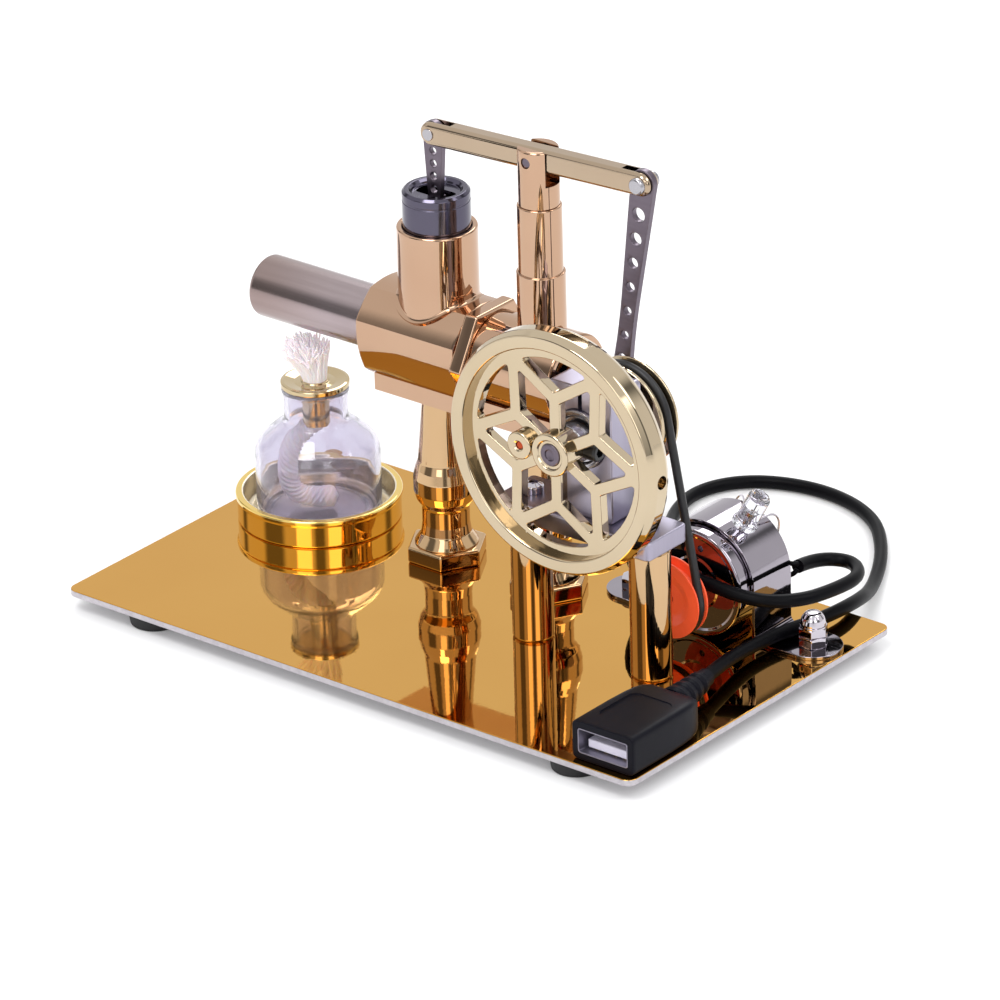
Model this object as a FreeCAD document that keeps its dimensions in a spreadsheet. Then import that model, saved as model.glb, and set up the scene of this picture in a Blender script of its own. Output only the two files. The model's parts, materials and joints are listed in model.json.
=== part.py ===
import FreeCAD, Part
import math
import os
import Sketcher

V = FreeCAD.Vector
doc = FreeCAD.newDocument("stirling_engine")


# ---------------------------------------------------------------- driving dimensions, mm
sizes = {
    "base_length": 155, "base_width": 90, "base_thickness": 1.5, "base_corner": 2.5,
    "foot_radius": 6, "foot_height": 3.5, "foot_x": 58, "foot_y": 38,
    "axis_height": 51.8,            # engine and crank axis above the deck
    "engine_y": 16.3,               # plane of cylinders, columns and beam
    "post_x": 7.1, "arm_length": 28.3, "crank_throw": 7.6,
    "beam_height": 5.2, "beam_thick": 4.2, "pivot_height": 100.6, "beam_tilt": 2.2,
    "tube_radius": 6.92, "tube_wall": 0.8, "tube_left": -69.8,
    "block_left": -36, "block_right": -9, "block_radius": 11.5,
    "cold_radius": 10, "cold_right": 16.2, "recess_radius": 8.2, "gland_face": 1,
    "displacer_radius": 5.6, "displacer_left": -68.2, "displacer_right": -22, "rod_radius": 1,
    "power_radius": 8.77, "bore_radius": 7.42, "power_top": 78.3,
    "piston_radius": 7.37, "piston_top": 86.7, "piston_length": 20,
    "hex_radius": 9.1, "hex_height": 3.7, "column_height": 38.5,
    "shaft_radius": 2.5, "wheel_radius": 27, "wheel_front": -17.2, "wheel_depth": 6.6,
    "web_inner": 21, "web_outer": 23.4, "spoke_width": 2.6, "fork_radius": 12,
    "hub_radius": 4.8, "boss_radius": 3.1,
    "pulley_radius": 12.1, "pulley_front": 5.6, "pulley_depth": 5.8, "pulley_groove": 10.2,
    "belt_y": 8.6, "belt_radius": 0.95, "belt_gap": 0.1,
    "bar_left": 13.8, "bar_right": 55.2, "bar_y": -3, "bar_width": 13.4, "bar_thick": 4.2,
    "bar_height": 33, "bar_post_radius": 4.5, "bar_post_left": 18.4, "bar_post_right": 50.3,
    "block_half": 8.2, "block_top": 63.6, "bearing_radius": 6.5, "bearing_width": 4,
    "motor_x": 46.4, "motor_radius": 12.2, "motor_front": 17, "motor_length": 16.5,
    "motor_lift": 12.3, "drive_radius": 8.8, "drive_groove": 6.9,
    "clamp_sheet": 0.8, "clamp_front": 20.5, "clamp_width": 12.8, "clamp_bolt": 23.8,
    "lamp_x": -57.4, "lamp_y": 16.3, "tray_radius": 17.5, "tray_height": 6.5,
    "bottle_radius": 13.8, "neck_radius": 7.1, "cord_radius": 1.5,
    "plug_left": 60.7, "plug_front": -43, "plug_width": 16.1, "plug_length": 24,
    "plug_height": 8.8, "socket_width": 12.5, "socket_height": 5.1,
}

sheet = doc.addObject("Spreadsheet::Sheet", "dims")
for row, (alias, number) in enumerate(sizes.items(), 1):
    sheet.set("A%d" % row, alias)
    sheet.set("B%d" % row, str(number))
    sheet.setAlias("B%d" % row, alias)
doc.recompute()


class Length:
    """A number together with the sheet expression that it comes from."""

    def __init__(self, number, text=None):
        self.number = float(number)
        self.text = text if text else ("(%s)" % repr(float(number)))

    def join(self, other, sign, swap=False):
        other = other if isinstance(other, Length) else Length(other)
        a, b = (other, self) if swap else (self, other)
        number = {"+": lambda: a.number + b.number, "-": lambda: a.number - b.number,
                  "*": lambda: a.number * b.number, "/": lambda: a.number / b.number}[sign]()
        return Length(number, "(%s %s %s)" % (a.text, sign, b.text))

    def __add__(self, other): return self.join(other, "+")
    def __radd__(self, other): return self.join(other, "+", True)
    def __sub__(self, other): return self.join(other, "-")
    def __rsub__(self, other): return self.join(other, "-", True)
    def __mul__(self, other): return self.join(other, "*")
    def __rmul__(self, other): return self.join(other, "*", True)
    def __truediv__(self, other): return self.join(other, "/")
    def __neg__(self): return self.join(-1, "*")
    def __float__(self): return self.number


def dim(alias):
    return Length(sheet.get(alias), "dims." + alias)


D = {alias: dim(alias) for alias in sizes}
deck = D["foot_height"] + D["base_thickness"]
axisZ = deck + D["axis_height"]
engineY = D["engine_y"]
leftX = D["post_x"] - D["arm_length"]
crankX = D["post_x"] + D["arm_length"]
pivotZ = deck + D["pivot_height"]
motorZ = deck + D["motor_lift"]
nodes = {}

TURN = {"z": FreeCAD.Rotation(), "x": FreeCAD.Rotation(V(0, 1, 0), 90),
        "y": FreeCAD.Rotation(V(1, 0, 0), -90)}


def bind(thing, name, length):
    """Set a property and, where it depends on the sheet, its expression."""
    if isinstance(length, Length) and "dims." in length.text:
        thing.setExpression(name, length.text)
    elif not name.startswith("Placement"):
        setattr(thing, name, float(length))


def place(thing, at, axis="z"):
    turn = TURN[axis] if isinstance(axis, str) else axis
    thing.Placement = FreeCAD.Placement(V(*[float(c) for c in at]), turn)
    for letter, length in zip("xyz", at):
        bind(thing, "Placement.Base." + letter, length)
    return thing


def keep(label, thing):
    thing.Label = label
    nodes[label] = thing
    return thing


def rod(radius, height, at, axis="z"):
    thing = doc.addObject("Part::Cylinder", "rod")
    bind(thing, "Radius", radius)
    bind(thing, "Height", height)
    return place(thing, at, axis)


def cone(low, high, height, at, axis="z"):
    thing = doc.addObject("Part::Cone", "cone")
    bind(thing, "Radius1", low)
    bind(thing, "Radius2", high)
    bind(thing, "Height", height)
    return place(thing, at, axis)


def box(length, width, height, at, axis="z"):
    thing = doc.addObject("Part::Box", "box")
    bind(thing, "Length", length)
    bind(thing, "Width", width)
    bind(thing, "Height", height)
    return place(thing, at, axis)


def prism(radius, height, at, axis="z"):
    thing = doc.addObject("Part::Prism", "prism")
    thing.Polygon = 6
    bind(thing, "Circumradius", radius)
    bind(thing, "Height", height)
    return place(thing, at, axis)


def fuse(joined, *others):
    for other in others:
        thing = doc.addObject("Part::Fuse", "fused")
        thing.Base, thing.Tool = joined, other
        joined = thing
    return joined


def group(*parts):
    thing = doc.addObject("Part::Compound", "group")
    thing.Links = list(parts)
    return thing


def cut(base, *tools):
    thing = doc.addObject("Part::Cut", "cut")
    thing.Base = base
    thing.Tool = tools[0] if len(tools) == 1 else fuse(*tools)
    return thing


def turned(label, outline, at, axis="z"):
    """A body revolved from (radius, height) corners about its own axis."""
    body = doc.addObject("PartDesign::Body", label)
    planes = {feature.Role: feature for feature in body.Origin.OriginFeatures}
    sketch = body.newObject("Sketcher::SketchObject", label + "_outline")
    sketch.AttachmentSupport = (planes["XZ_Plane"], "")
    sketch.MapMode = "FlatFace"
    corners = [V(float(r), float(z), 0) for r, z in outline]
    count = len(corners)
    for i in range(count):
        sketch.addGeometry(Part.LineSegment(corners[i], corners[(i + 1) % count]), False)
    for i in range(count):
        sketch.addConstraint(Sketcher.Constraint("Coincident", i, 2, (i + 1) % count, 1))
    for i, (r, z) in enumerate(outline):
        for kind, length in (("DistanceX", r), ("DistanceY", z)):
            index = sketch.addConstraint(
                Sketcher.Constraint(kind, -1, 1, i, 1, float(length)))
            if isinstance(length, Length) and "dims." in length.text:
                sketch.setExpression("Constraints[%d]" % index, length.text)
    spin = body.newObject("PartDesign::Revolution", label + "_turning")
    spin.Profile = sketch
    spin.ReferenceAxis = (sketch, ["V_Axis"])
    spin.Angle = 360
    body.Tip = spin
    return place(body, at, axis)


def shaped(label, shape, at=(0, 0, 0), axis="z"):
    """A part made in code from sheet sizes, for sweeps and arcs."""
    thing = doc.addObject("Part::Feature", label)
    thing.Shape = shape
    return place(thing, at, axis)


def spun(points):
    """Solid of revolution about Z; a point of four numbers ends an arc through its middle."""
    edges, last = [], V(points[0][0], 0, points[0][1])
    for point in points[1:] + points[:1]:
        end = V(point[-2], 0, point[-1])
        if len(point) == 4:
            edges.append(Part.Arc(last, V(point[0], 0, point[1]), end).toShape())
        elif (end - last).Length > 1e-6:
            edges.append(Part.LineSegment(last, end).toShape())
        last = end
    return Part.Face(Part.Wire(edges)).revolve(V(0, 0, 0), V(0, 0, 1), 360)


def dome(radius, low, rise):
    """Arc of a sphere centred on the axis, from (radius, low) up to the axis."""
    sphere = (radius ** 2 + rise ** 2) / (2 * rise)
    half = math.atan2(radius, sphere - rise) / 2
    return sphere * math.sin(half), low + rise - sphere * (1 - math.cos(half)), 0, low + rise


# ---------------------------------------------------------------- base
plate = box(D["base_length"], D["base_width"], D["base_thickness"],
            (-D["base_length"] / 2, -D["base_width"] / 2, D["foot_height"]))
doc.recompute()
rounded = doc.addObject("Part::Fillet", "rounded_plate")
rounded.Base = plate
corner = float(D["base_corner"])
rounded.Edges = [(i + 1, corner, corner) for i, e in enumerate(plate.Shape.Edges)
                 if abs(e.tangentAt(e.FirstParameter).z) > 0.9]
screwSpots = [(leftX, engineY), (D["post_x"], engineY),
              (D["bar_post_left"], D["bar_y"]), (D["bar_post_right"], D["bar_y"])]
clampSpots = [(D["motor_x"] + side * D["clamp_bolt"],
               D["clamp_front"] + D["clamp_width"] / 2) for side in (-1, 1)]
holes = [rod(1.6, D["base_thickness"] + 1, (x, y, D["foot_height"] - 0.5))
         for x, y in screwSpots + clampSpots]
keep("base_plate", cut(rounded, *holes))


def foot(x, y):
    return cone(D["foot_radius"] - 0.5, D["foot_radius"], D["foot_height"], (x, y, 0))


keep("rubber_feet", group(*[foot(sx * D["foot_x"], sy * D["foot_y"])
                            for sx in (-1, 1) for sy in (-1, 1)]))


def underScrew(x, y, length):
    """Pan head below the plate with its shank up through it."""
    return fuse(rod(3, 1.8, (x, y, D["foot_height"] - 1.8)),
                rod(1.5, length, (x, y, D["foot_height"] - 0.5)))


keep("base_screws", group(*[underScrew(x, y, 8) for x, y in screwSpots]))

# ---------------------------------------------------------------- spirit lamp
trayIn = D["tray_radius"] - 0.9
keep("lamp_tray", turned("lamp_tray", [
    (0, 0), (D["tray_radius"], 0), (D["tray_radius"], D["tray_height"] - 1.4),
    (D["tray_radius"] + 0.9, D["tray_height"] - 1), (D["tray_radius"] + 0.9, D["tray_height"]),
    (trayIn, D["tray_height"]), (trayIn, 0.8), (0, 0.8)], (D["lamp_x"], D["lamp_y"], deck)))

bottle, neck = float(D["bottle_radius"]), float(D["neck_radius"])
bottleOut = [(0, 0), (bottle - 2, 0), (bottle - 0.6, 0.6, bottle, 2), (bottle, 16),
             (bottle - 1.9, 20, neck + 0.4, 22.6), (neck, 23.6), (neck, 29.2),
             (neck + 0.4, 29.5), (neck + 0.4, 30.4)]
bottleIn = [(neck - 1.1, 30.4), (neck - 1.1, 23), (bottle - 3.2, 18.8, bottle - 1.2, 15.6),
            (bottle - 1.2, 2.8), (bottle - 1.6, 1.6, bottle - 2.8, 1.2), (0, 1.2)]
keep("lamp_bottle", shaped("lamp_bottle", spun(bottleOut + bottleIn),
                           (D["lamp_x"], D["lamp_y"], deck + 0.8)))
keep("lamp_cap", turned("lamp_cap", [
    (2.4, -9), (3, -9), (3, -0.6), (D["neck_radius"] - 1.3, -0.6), (D["neck_radius"] - 1.3, 0),
    (D["neck_radius"] + 0.5, 0), (D["neck_radius"] + 0.5, 1.1),
    (D["neck_radius"], 1.3), (2.4, 0.7)],
    (D["lamp_x"], D["lamp_y"], deck + 31.2)))
keep("lamp_wick", shaped("lamp_wick", spun([
    (0, 0), (2.3, 0), (2.3, 29.6), (4.2, 35.5, 6.2, 39.2), dome(6.2, 39.2, 2.4)]),
    (D["lamp_x"], D["lamp_y"], deck + 2.2)))

# ---------------------------------------------------------------- hot and cold cylinders
tubeIn = D["tube_radius"] - D["tube_wall"]
tubeLength = D["block_left"] + 6 - D["tube_left"]
keep("hot_cylinder", turned("hot_cylinder", [
    (0, 0), (D["tube_radius"] - 1, 0), (D["tube_radius"], 1), (D["tube_radius"], tubeLength),
    (tubeIn, tubeLength), (tubeIn, 0.8), (0, 0.8)],
    (D["tube_left"], engineY, axisZ), "x"))


def blockOutline():
    """Barrel section of the block: broad facets whose corners lie on a circle."""
    radius = float(D["block_radius"])
    turns = [62, 118, 159, 215, 237, 303, 325, 381]
    ends = [V(0, radius * math.cos(math.radians(a)), radius * math.sin(math.radians(a)))
            for a in turns]
    edges = []
    for i, start in enumerate(ends):
        end = ends[(i + 1) % len(ends)]
        middle = (start + end) * 0.5
        bulge = V(middle).normalize() * (0.5 * (middle.Length + radius))
        edges.append(Part.Arc(start, bulge, end).toShape())
    return Part.Wire(edges)


blockLength = float(D["block_right"] - D["block_left"])
barrel = shaped("block_barrel", Part.Face(blockOutline()).extrude(V(blockLength, 0, 0)),
                (D["block_left"], engineY, axisZ))
flangeHexagon = prism(12.6, 3.5, (D["block_right"], engineY, axisZ),
                      FreeCAD.Rotation(V(0, 1, 0), 90).multiply(FreeCAD.Rotation(V(0, 0, 1), 90)))
coldLeft = D["block_right"] + 3.5
coldBar = rod(D["cold_radius"], D["cold_right"] - coldLeft, (coldLeft, engineY, axisZ), "x")
keep("cylinder_block", cut(
    barrel,
    rod(D["tube_radius"], 6, (D["block_left"], engineY, axisZ), "x"),
    rod(tubeIn, blockLength, (D["block_left"], engineY, axisZ), "x"),
    rod(D["bore_radius"], 20, (leftX, engineY, axisZ + 6.4)),
    rod(2, 10, (leftX, engineY, axisZ))))
keep("block_flange", cut(
    flangeHexagon, rod(tubeIn, 3.5, (D["block_right"], engineY, axisZ), "x")))
keep("cold_cylinder", cut(
    coldBar,
    rod(D["recess_radius"], D["cold_right"] - D["gland_face"],
        (D["gland_face"], engineY, axisZ), "x"),
    rod(2.5, D["gland_face"] - coldLeft, (coldLeft, engineY, axisZ), "x")))
keep("rod_gland", turned("rod_gland", [
    (1.05, 0), (2.5, 0), (2.5, 6.5), (4.5, 6.5), (4.5, 7.7), (1.05, 7.7)],
    (coldLeft, engineY, axisZ), "x"))

saddleLeft = D["block_left"] + 1.4
saddleLength = D["cold_right"] - 1.2 - saddleLeft
keep("engine_saddle", cut(
    box(saddleLength, 13.2, 5, (saddleLeft, engineY - 6.6, deck + D["column_height"])),
    barrel, flangeHexagon, coldBar))

# ---------------------------------------------------------------- displacer
keep("displacer", turned("displacer", [
    (0, 0), (D["displacer_radius"] - 0.8, 0), (D["displacer_radius"], 0.8),
    (D["displacer_radius"], D["displacer_right"] - D["displacer_left"] - 0.8),
    (D["displacer_radius"] - 0.8, D["displacer_right"] - D["displacer_left"]),
    (0, D["displacer_right"] - D["displacer_left"])],
    (D["displacer_left"], engineY, axisZ), "x"))
keep("displacer_rod", rod(D["rod_radius"], 3 - D["displacer_right"],
                          (D["displacer_right"], engineY, axisZ), "x"))
pinX = crankX - D["crank_throw"]
linkLength = 22
headX = pinX - linkLength
keep("crosshead", fuse(
    rod(2.6, 4.4, (3, engineY, axisZ), "x"),
    rod(0.8, engineY - 12.3, (headX, 12.3, axisZ), "y"),
    rod(1.4, 0.5, (headX, 11.9, axisZ), "y")))


def strap(length, widths, thick, holes):
    """Flat bar along +X from one pin to the other, rounded ends, drilled; flat in Y."""
    r0, r1 = widths[0] / 2, widths[1] / 2
    tilt = math.asin((r0 - r1) / length)
    up0 = V(r0 * math.sin(tilt), 0, r0 * math.cos(tilt))
    up1 = V(length + r1 * math.sin(tilt), 0, r1 * math.cos(tilt))
    low0, low1 = V(up0.x, 0, -up0.z), V(up1.x, 0, -up1.z)
    wire = Part.Wire([Part.LineSegment(up0, up1).toShape(),
                      Part.Arc(up1, V(length + r1, 0, 0), low1).toShape(),
                      Part.LineSegment(low1, low0).toShape(),
                      Part.Arc(low0, V(-r0, 0, 0), up0).toShape()])
    solid = Part.Face(wire).extrude(V(0, thick, 0))
    for along, radius in holes:
        solid = solid.cut(Part.makeCylinder(radius, thick + 2, V(along, -1, 0), V(0, 1, 0)))
    return solid


keep("displacer_link", shaped("displacer_link", strap(
    linkLength, (4.2, 4.8), 0.9, [(0, 0.85)]), (headX, 12.55, axisZ)))

# ---------------------------------------------------------------- power cylinder and piston
powerSeat = axisZ + 8
keep("power_cylinder", cut(
    rod(D["power_radius"], deck + D["power_top"] - powerSeat, (leftX, engineY, powerSeat)),
    rod(D["bore_radius"], deck + D["power_top"] - powerSeat, (leftX, engineY, powerSeat)),
    barrel))
pistonTop = deck + D["piston_top"]
pistonLength = D["piston_length"]
pistonBody = turned("piston_turning", [
    (0, 0), (D["piston_radius"], 0), (D["piston_radius"], pistonLength - 0.8),
    (D["piston_radius"] - 0.8, pistonLength), (5.6, pistonLength), (5, pistonLength - 0.8),
    (5, 9), (0, 9)], (leftX, engineY, pistonTop - pistonLength))
wristZ = pistonTop - 7
wristHole = rod(0.9, 13.2, (leftX, engineY - 6.6, wristZ), "y")
keep("power_piston", cut(pistonBody, wristHole))
keep("piston_pin", rod(0.88, 13, (leftX, engineY - 6.5, wristZ), "y"))

# ---------------------------------------------------------------- columns and beam post


def column(label, x):
    """Turned support with a hexagon foot, a narrow neck, a bulb and a tapered shaft."""
    height = float(D["column_height"])
    turning = spun([(0, 3.7), (6.9, 3.7), (5.4, 6.8), (5.2, 12.8), (6.7, 14.6, 6.9, 16.4),
                    (6.9, 19.2), (6.7, 21.4, 5.8, 23.1), (4.4, height), (0, height)])
    hexagon = prism(D["hex_radius"], D["hex_height"], (x, engineY, deck))
    whole = fuse(hexagon, shaped(label + "_turning", turning, (x, engineY, deck)))
    return keep(label, cut(whole, rod(1.5, 6.6, (x, engineY, deck))))


column("column_left", leftX)
column("column_right", D["post_x"])

postFoot = axisZ + 9
midZ, forkZ = deck + 74.8, deck + 90.1
keep("beam_post", cut(
    fuse(rod(5.28, midZ - postFoot, (D["post_x"], engineY, postFoot)),
         rod(4.83, forkZ - midZ, (D["post_x"], engineY, midZ))), coldBar))
forkTop = pivotZ + 2.6
keep("beam_fork", cut(
    rod(4.46, forkTop - forkZ, (D["post_x"], engineY, forkZ)),
    box(12, D["beam_thick"] + 0.6, 12,
        (D["post_x"] - 6, engineY - D["beam_thick"] / 2 - 0.3, pivotZ - 5.4)),
    rod(1.2, 12, (D["post_x"], engineY - 6, pivotZ), "y")))
keep("pivot_pin", rod(1.2, 8.2, (D["post_x"], engineY - 4.1, pivotZ), "y"))

# ---------------------------------------------------------------- rocker beam and its rods
tilt = -float(D["beam_tilt"])
beamTurn = FreeCAD.Rotation(V(0, 1, 0), tilt)
arm = D["arm_length"]


def beamShape():
    half, high, thick = float(arm), float(D["beam_height"]), float(D["beam_thick"])
    bar = strap(2 * half, (high, high), thick, [(half, 1.25)])
    for end, slotFrom in ((0, -6), (2 * half, 2 * half - 5.2)):
        slot = Part.makeBox(11.2, 1.9, 12, V(slotFrom, thick / 2 - 0.95, -6))
        bar = bar.cut(slot)
        bar = bar.cut(Part.makeCylinder(0.9, thick + 2, V(end, -1, 0), V(0, 1, 0)))
    return bar


reach = float(arm) * math.cos(math.radians(tilt))
rise = -float(arm) * math.sin(math.radians(tilt))
leftPin = (float(D["post_x"]) - reach, float(pivotZ) - rise)
rightPin = (float(D["post_x"]) + reach, float(pivotZ) + rise)
keep("rocker_beam", shaped("rocker_beam", beamShape(),
                           (leftPin[0], engineY - D["beam_thick"] / 2, leftPin[1]), beamTurn))
keep("beam_end_pins", group(*[
    rod(0.88, 4.8, (x, engineY - 2.4, z), "y") for x, z in (leftPin, rightPin)]))

linkDrop = leftPin[1] - float(wristZ) - 2.9
keep("piston_link", shaped("piston_link", strap(
    linkDrop, (5.4, 3.1), 1.4, [(0, 0.95)] + [(4.2 + 2.9 * i, 0.9) for i in range(4)]),
    (leftPin[0], engineY - 0.7, leftPin[1]), FreeCAD.Rotation(V(0, 1, 0), 90)))

run = (float(pinX) - rightPin[0], float(axisZ) - rightPin[1])
rodLength = math.hypot(*run)
rodTurn = FreeCAD.Rotation(V(0, 1, 0), -math.degrees(math.atan2(run[1], run[0])))
rodHoles = [(7.4 + 5.75 * i, r) for i, r in enumerate((1.6, 1.45, 1.25, 1.1, 1.0, 0.95, 1.35))]
keep("connecting_rod", shaped("connecting_rod", strap(
    rodLength, (6.4, 5.4), 1.5, [(0, 0.95), (rodLength, 1.3)] + rodHoles),
    (rightPin[0], engineY - 0.75, rightPin[1]), rodTurn))
keep("rod_end_screw", fuse(
    rod(1.25, 4.8, (pinX, 13.9, axisZ), "y"), rod(2.2, 0.9, (pinX, 14.6, axisZ), "y"),
    rod(2.2, 1.4, (pinX, engineY + 0.8, axisZ), "y")))

# ---------------------------------------------------------------- crankshaft and wheels
keep("crankshaft", rod(D["shaft_radius"], D["pulley_front"] + D["pulley_depth"] - D["wheel_front"],
                       (crankX, D["wheel_front"], axisZ), "y"))


def wheelWeb():
    """Ring with six spokes, each forking at 60 degrees either side to the ring."""
    thick, wide = 2.4, float(D["spoke_width"])
    inner, outer = float(D["web_inner"]), float(D["web_outer"])
    fork, hub = float(D["fork_radius"]), float(D["hub_radius"])
    web = Part.makeCylinder(outer + 0.8, thick).cut(Part.makeCylinder(inner, thick))

    def bar(start, end):
        along = end - start
        piece = Part.makeBox(along.Length, wide, thick, V(0, -wide / 2, 0))
        turn = math.degrees(math.atan2(along.y, along.x))
        piece.Placement = FreeCAD.Placement(start, FreeCAD.Rotation(V(0, 0, 1), turn))
        return piece

    for k in range(6):
        a = math.radians(30 + 60 * k)
        node = V(fork * math.cos(a), fork * math.sin(a), 0)
        web = web.fuse([bar(V(0, 0, 0), node), Part.makeCylinder(wide / 2, thick, node)])
        for side in (-30, 30):
            b = a + math.radians(side)
            rim = V((inner + 0.9) * math.cos(b), (inner + 0.9) * math.sin(b), 0)
            web = web.fuse(bar(node, rim))
    return web.cut(Part.makeCylinder(hub - 0.9, thick))


depth = D["wheel_depth"]
wheelAt = (crankX, D["wheel_front"], axisZ)
boss = D["crank_throw"] + 0.6
rimTurned = turned("wheel_rim", [
    (D["web_outer"], 0), (D["wheel_radius"] - 0.6, 0), (D["wheel_radius"] + 0.2, depth * 0.35),
    (D["wheel_radius"] + 0.2, depth * 0.65), (D["wheel_radius"] - 0.6, depth),
    (D["web_outer"], depth)], wheelAt, "y")
hubTurned = turned("wheel_hub", [
    (D["shaft_radius"], 0), (D["hub_radius"], 0), (D["hub_radius"], depth - 0.8),
    (D["shaft_radius"], depth - 0.8)], wheelAt, "y")
web = shaped("wheel_web", wheelWeb(), (crankX, D["wheel_front"] + 2, axisZ), "y")
bossArm = box(boss, 3, 3.4, (crankX - boss, D["wheel_front"] + 1.2, axisZ - 1.7))
wholeWheel = fuse(rimTurned, hubTurned, web, bossArm,
                  rod(D["boss_radius"], 4.2, (crankX - boss, D["wheel_front"], axisZ), "y"))
keep("front_flywheel", cut(
    wholeWheel, rod(D["shaft_radius"], 12, (crankX, D["wheel_front"] - 2, axisZ), "y"),
    rod(0.9, 6, (crankX - boss, D["wheel_front"] - 1, axisZ), "y"),
    rod(1.5, 10, (crankX + D["web_outer"] - 1, D["wheel_front"] + depth / 2, axisZ), "x")))
keep("flywheel_pin", rod(0.9, 3.6, (crankX - boss, D["wheel_front"] + 0.3, axisZ), "y"))

grooveLow = D["belt_y"] - D["pulley_front"] - 1.4
pulleyDepth = D["pulley_depth"]
keep("rear_wheel", turned("rear_wheel", [
    (D["shaft_radius"], 0.6), (4.4, 0.6), (4.4, 1.6), (9, 1.6), (9.4, 0), (D["pulley_radius"], 0),
    (D["pulley_radius"], 0.9), (D["pulley_groove"], grooveLow), (D["pulley_groove"], grooveLow + 2.8),
    (D["pulley_radius"], pulleyDepth - 0.7), (D["pulley_radius"], pulleyDepth - 0.2),
    (D["pulley_radius"] - 0.2, pulleyDepth), (D["shaft_radius"], pulleyDepth)],
    (crankX, D["pulley_front"], axisZ), "y"))
keep("crank_pin", rod(2, 0.7, (pinX, D["pulley_front"] + pulleyDepth, axisZ), "y"))

# ---------------------------------------------------------------- bearing block, bar and posts
barZ = deck + D["bar_height"] - 3.3
barTop = barZ + D["bar_thick"]
blockFront, blockDepth = -6.6, 10.2
keep("bearing_block", cut(
    box(2 * D["block_half"], blockDepth, deck + D["block_top"] - barTop,
        (crankX - D["block_half"], blockFront, barTop)),
    rod(D["bearing_radius"], blockDepth, (crankX, blockFront, axisZ), "y"),
    box(1.1, blockDepth, 14, (crankX - 0.55, blockFront, axisZ + 3))))
bearingSpots = [blockFront - 1, blockFront + blockDepth - D["bearing_width"] + 1]
keep("bearing_outer_rings", group(*[cut(
    rod(D["bearing_radius"], D["bearing_width"], (crankX, y, axisZ), "y"),
    rod(D["bearing_radius"] - 1.2, D["bearing_width"], (crankX, y, axisZ), "y"))
    for y in bearingSpots]))
keep("bearing_inner_rings", group(*[cut(
    rod(D["bearing_radius"] - 1.3, D["bearing_width"], (crankX, y, axisZ), "y"),
    rod(D["shaft_radius"], D["bearing_width"], (crankX, y, axisZ), "y"))
    for y in bearingSpots]))
keep("bracket_bar", box(D["bar_right"] - D["bar_left"], D["bar_width"], D["bar_thick"],
                        (D["bar_left"], D["bar_y"] - D["bar_width"] / 2, barZ)))
for side in ("left", "right"):
    x = D["bar_post_" + side]
    keep("bracket_post_" + side, cut(
        rod(D["bar_post_radius"], barZ - deck, (x, D["bar_y"], deck)),
        rod(1.5, 6.6, (x, D["bar_y"], deck))))


def domeScrew(x, y):
    head = spun([(0, 0), (2.2, 0), (2.2, 1.2), dome(2.2, 1.2, 1.9)])
    return shaped("dome_head", head, (x, y, barTop))


keep("bracket_screws", group(domeScrew(D["bar_post_left"] + 1, D["bar_y"]),
                             domeScrew(D["bar_post_right"], D["bar_y"])))

# ---------------------------------------------------------------- motor, clamp and belt
motorAt = (D["motor_x"], D["motor_front"], motorZ)
keep("motor_can", cut(turned("motor_turning", [
    (1.3, -1.2), (3, -1.2), (3, 0), (D["motor_radius"] - 0.9, 0), (D["motor_radius"], 0.9),
    (D["motor_radius"], D["motor_length"] - 1.5), (1.3, D["motor_length"] - 1.5)],
    motorAt, "y"), *[rod(0.75, 1, (D["motor_x"] + 8.4 * math.cos(math.radians(a)),
                                   D["motor_front"], motorZ + 8.4 * math.sin(math.radians(a))), "y")
                     for a in (10, 80, 190, 280)]))
capY = D["motor_front"] + D["motor_length"] - 1.5
keep("motor_end_cap", rod(D["motor_radius"] - 0.8, 1.5, (D["motor_x"], capY, motorZ), "y"))
keep("motor_terminals", group(*[
    box(2.4, 2.6, 0.6, (D["motor_x"] + x - 1.2, capY + 1.5, motorZ)) for x in (-6, 6)]))
keep("motor_shaft", rod(1.2, 23, (D["motor_x"], 7.4, motorZ), "y"))
drive, driveIn = D["drive_radius"], D["drive_groove"]
keep("motor_pulley", turned("motor_pulley", [
    (1.2, 1), (4, 1), (6.2, 0), (drive, 0), (drive, 0.35), (driveIn, 0.75), (driveIn, 2.65),
    (drive, 3.05), (drive, 3.5), (2.4, 3.5), (2.4, 5.5), (1.2, 5.5)],
    (D["motor_x"], D["belt_y"] - 1.7, motorZ), "y"))

strapIn = D["motor_radius"] + 0.2
strapOut = strapIn + D["clamp_sheet"]
clampY, clampW = D["clamp_front"], D["clamp_width"]
legHeight = motorZ - deck
outerClamp = fuse(
    rod(strapOut, clampW, (D["motor_x"], clampY, motorZ), "y"),
    box(2 * strapOut, clampW, legHeight, (D["motor_x"] - strapOut, clampY, deck)))
innerClamp = fuse(
    rod(strapIn, clampW, (D["motor_x"], clampY, motorZ), "y"),
    box(2 * strapIn, clampW, legHeight, (D["motor_x"] - strapIn, clampY, deck)),
    box(40, clampW, 20, (D["motor_x"] - 20, clampY, deck - 20)))
flanges = []
for side in (-1, 1):
    flanges.append(rod(clampW / 2, D["clamp_sheet"],
                       (D["motor_x"] + side * D["clamp_bolt"], clampY + clampW / 2, deck)))
flanges.append(box(2 * D["clamp_bolt"], clampW, D["clamp_sheet"],
                   (D["motor_x"] - D["clamp_bolt"], clampY, deck)))
keep("motor_clamp", cut(fuse(outerClamp, *flanges), innerClamp,
                        *[rod(1.6, 3, (x, y, deck - 1)) for x, y in clampSpots]))
sheetTop = deck + D["clamp_sheet"]
(leftBoltX, boltY), (rightBoltX, _) = clampSpots
keep("clamp_bolts", group(underScrew(leftBoltX, boltY, 7.2), underScrew(rightBoltX, boltY, 7.2)))


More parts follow.
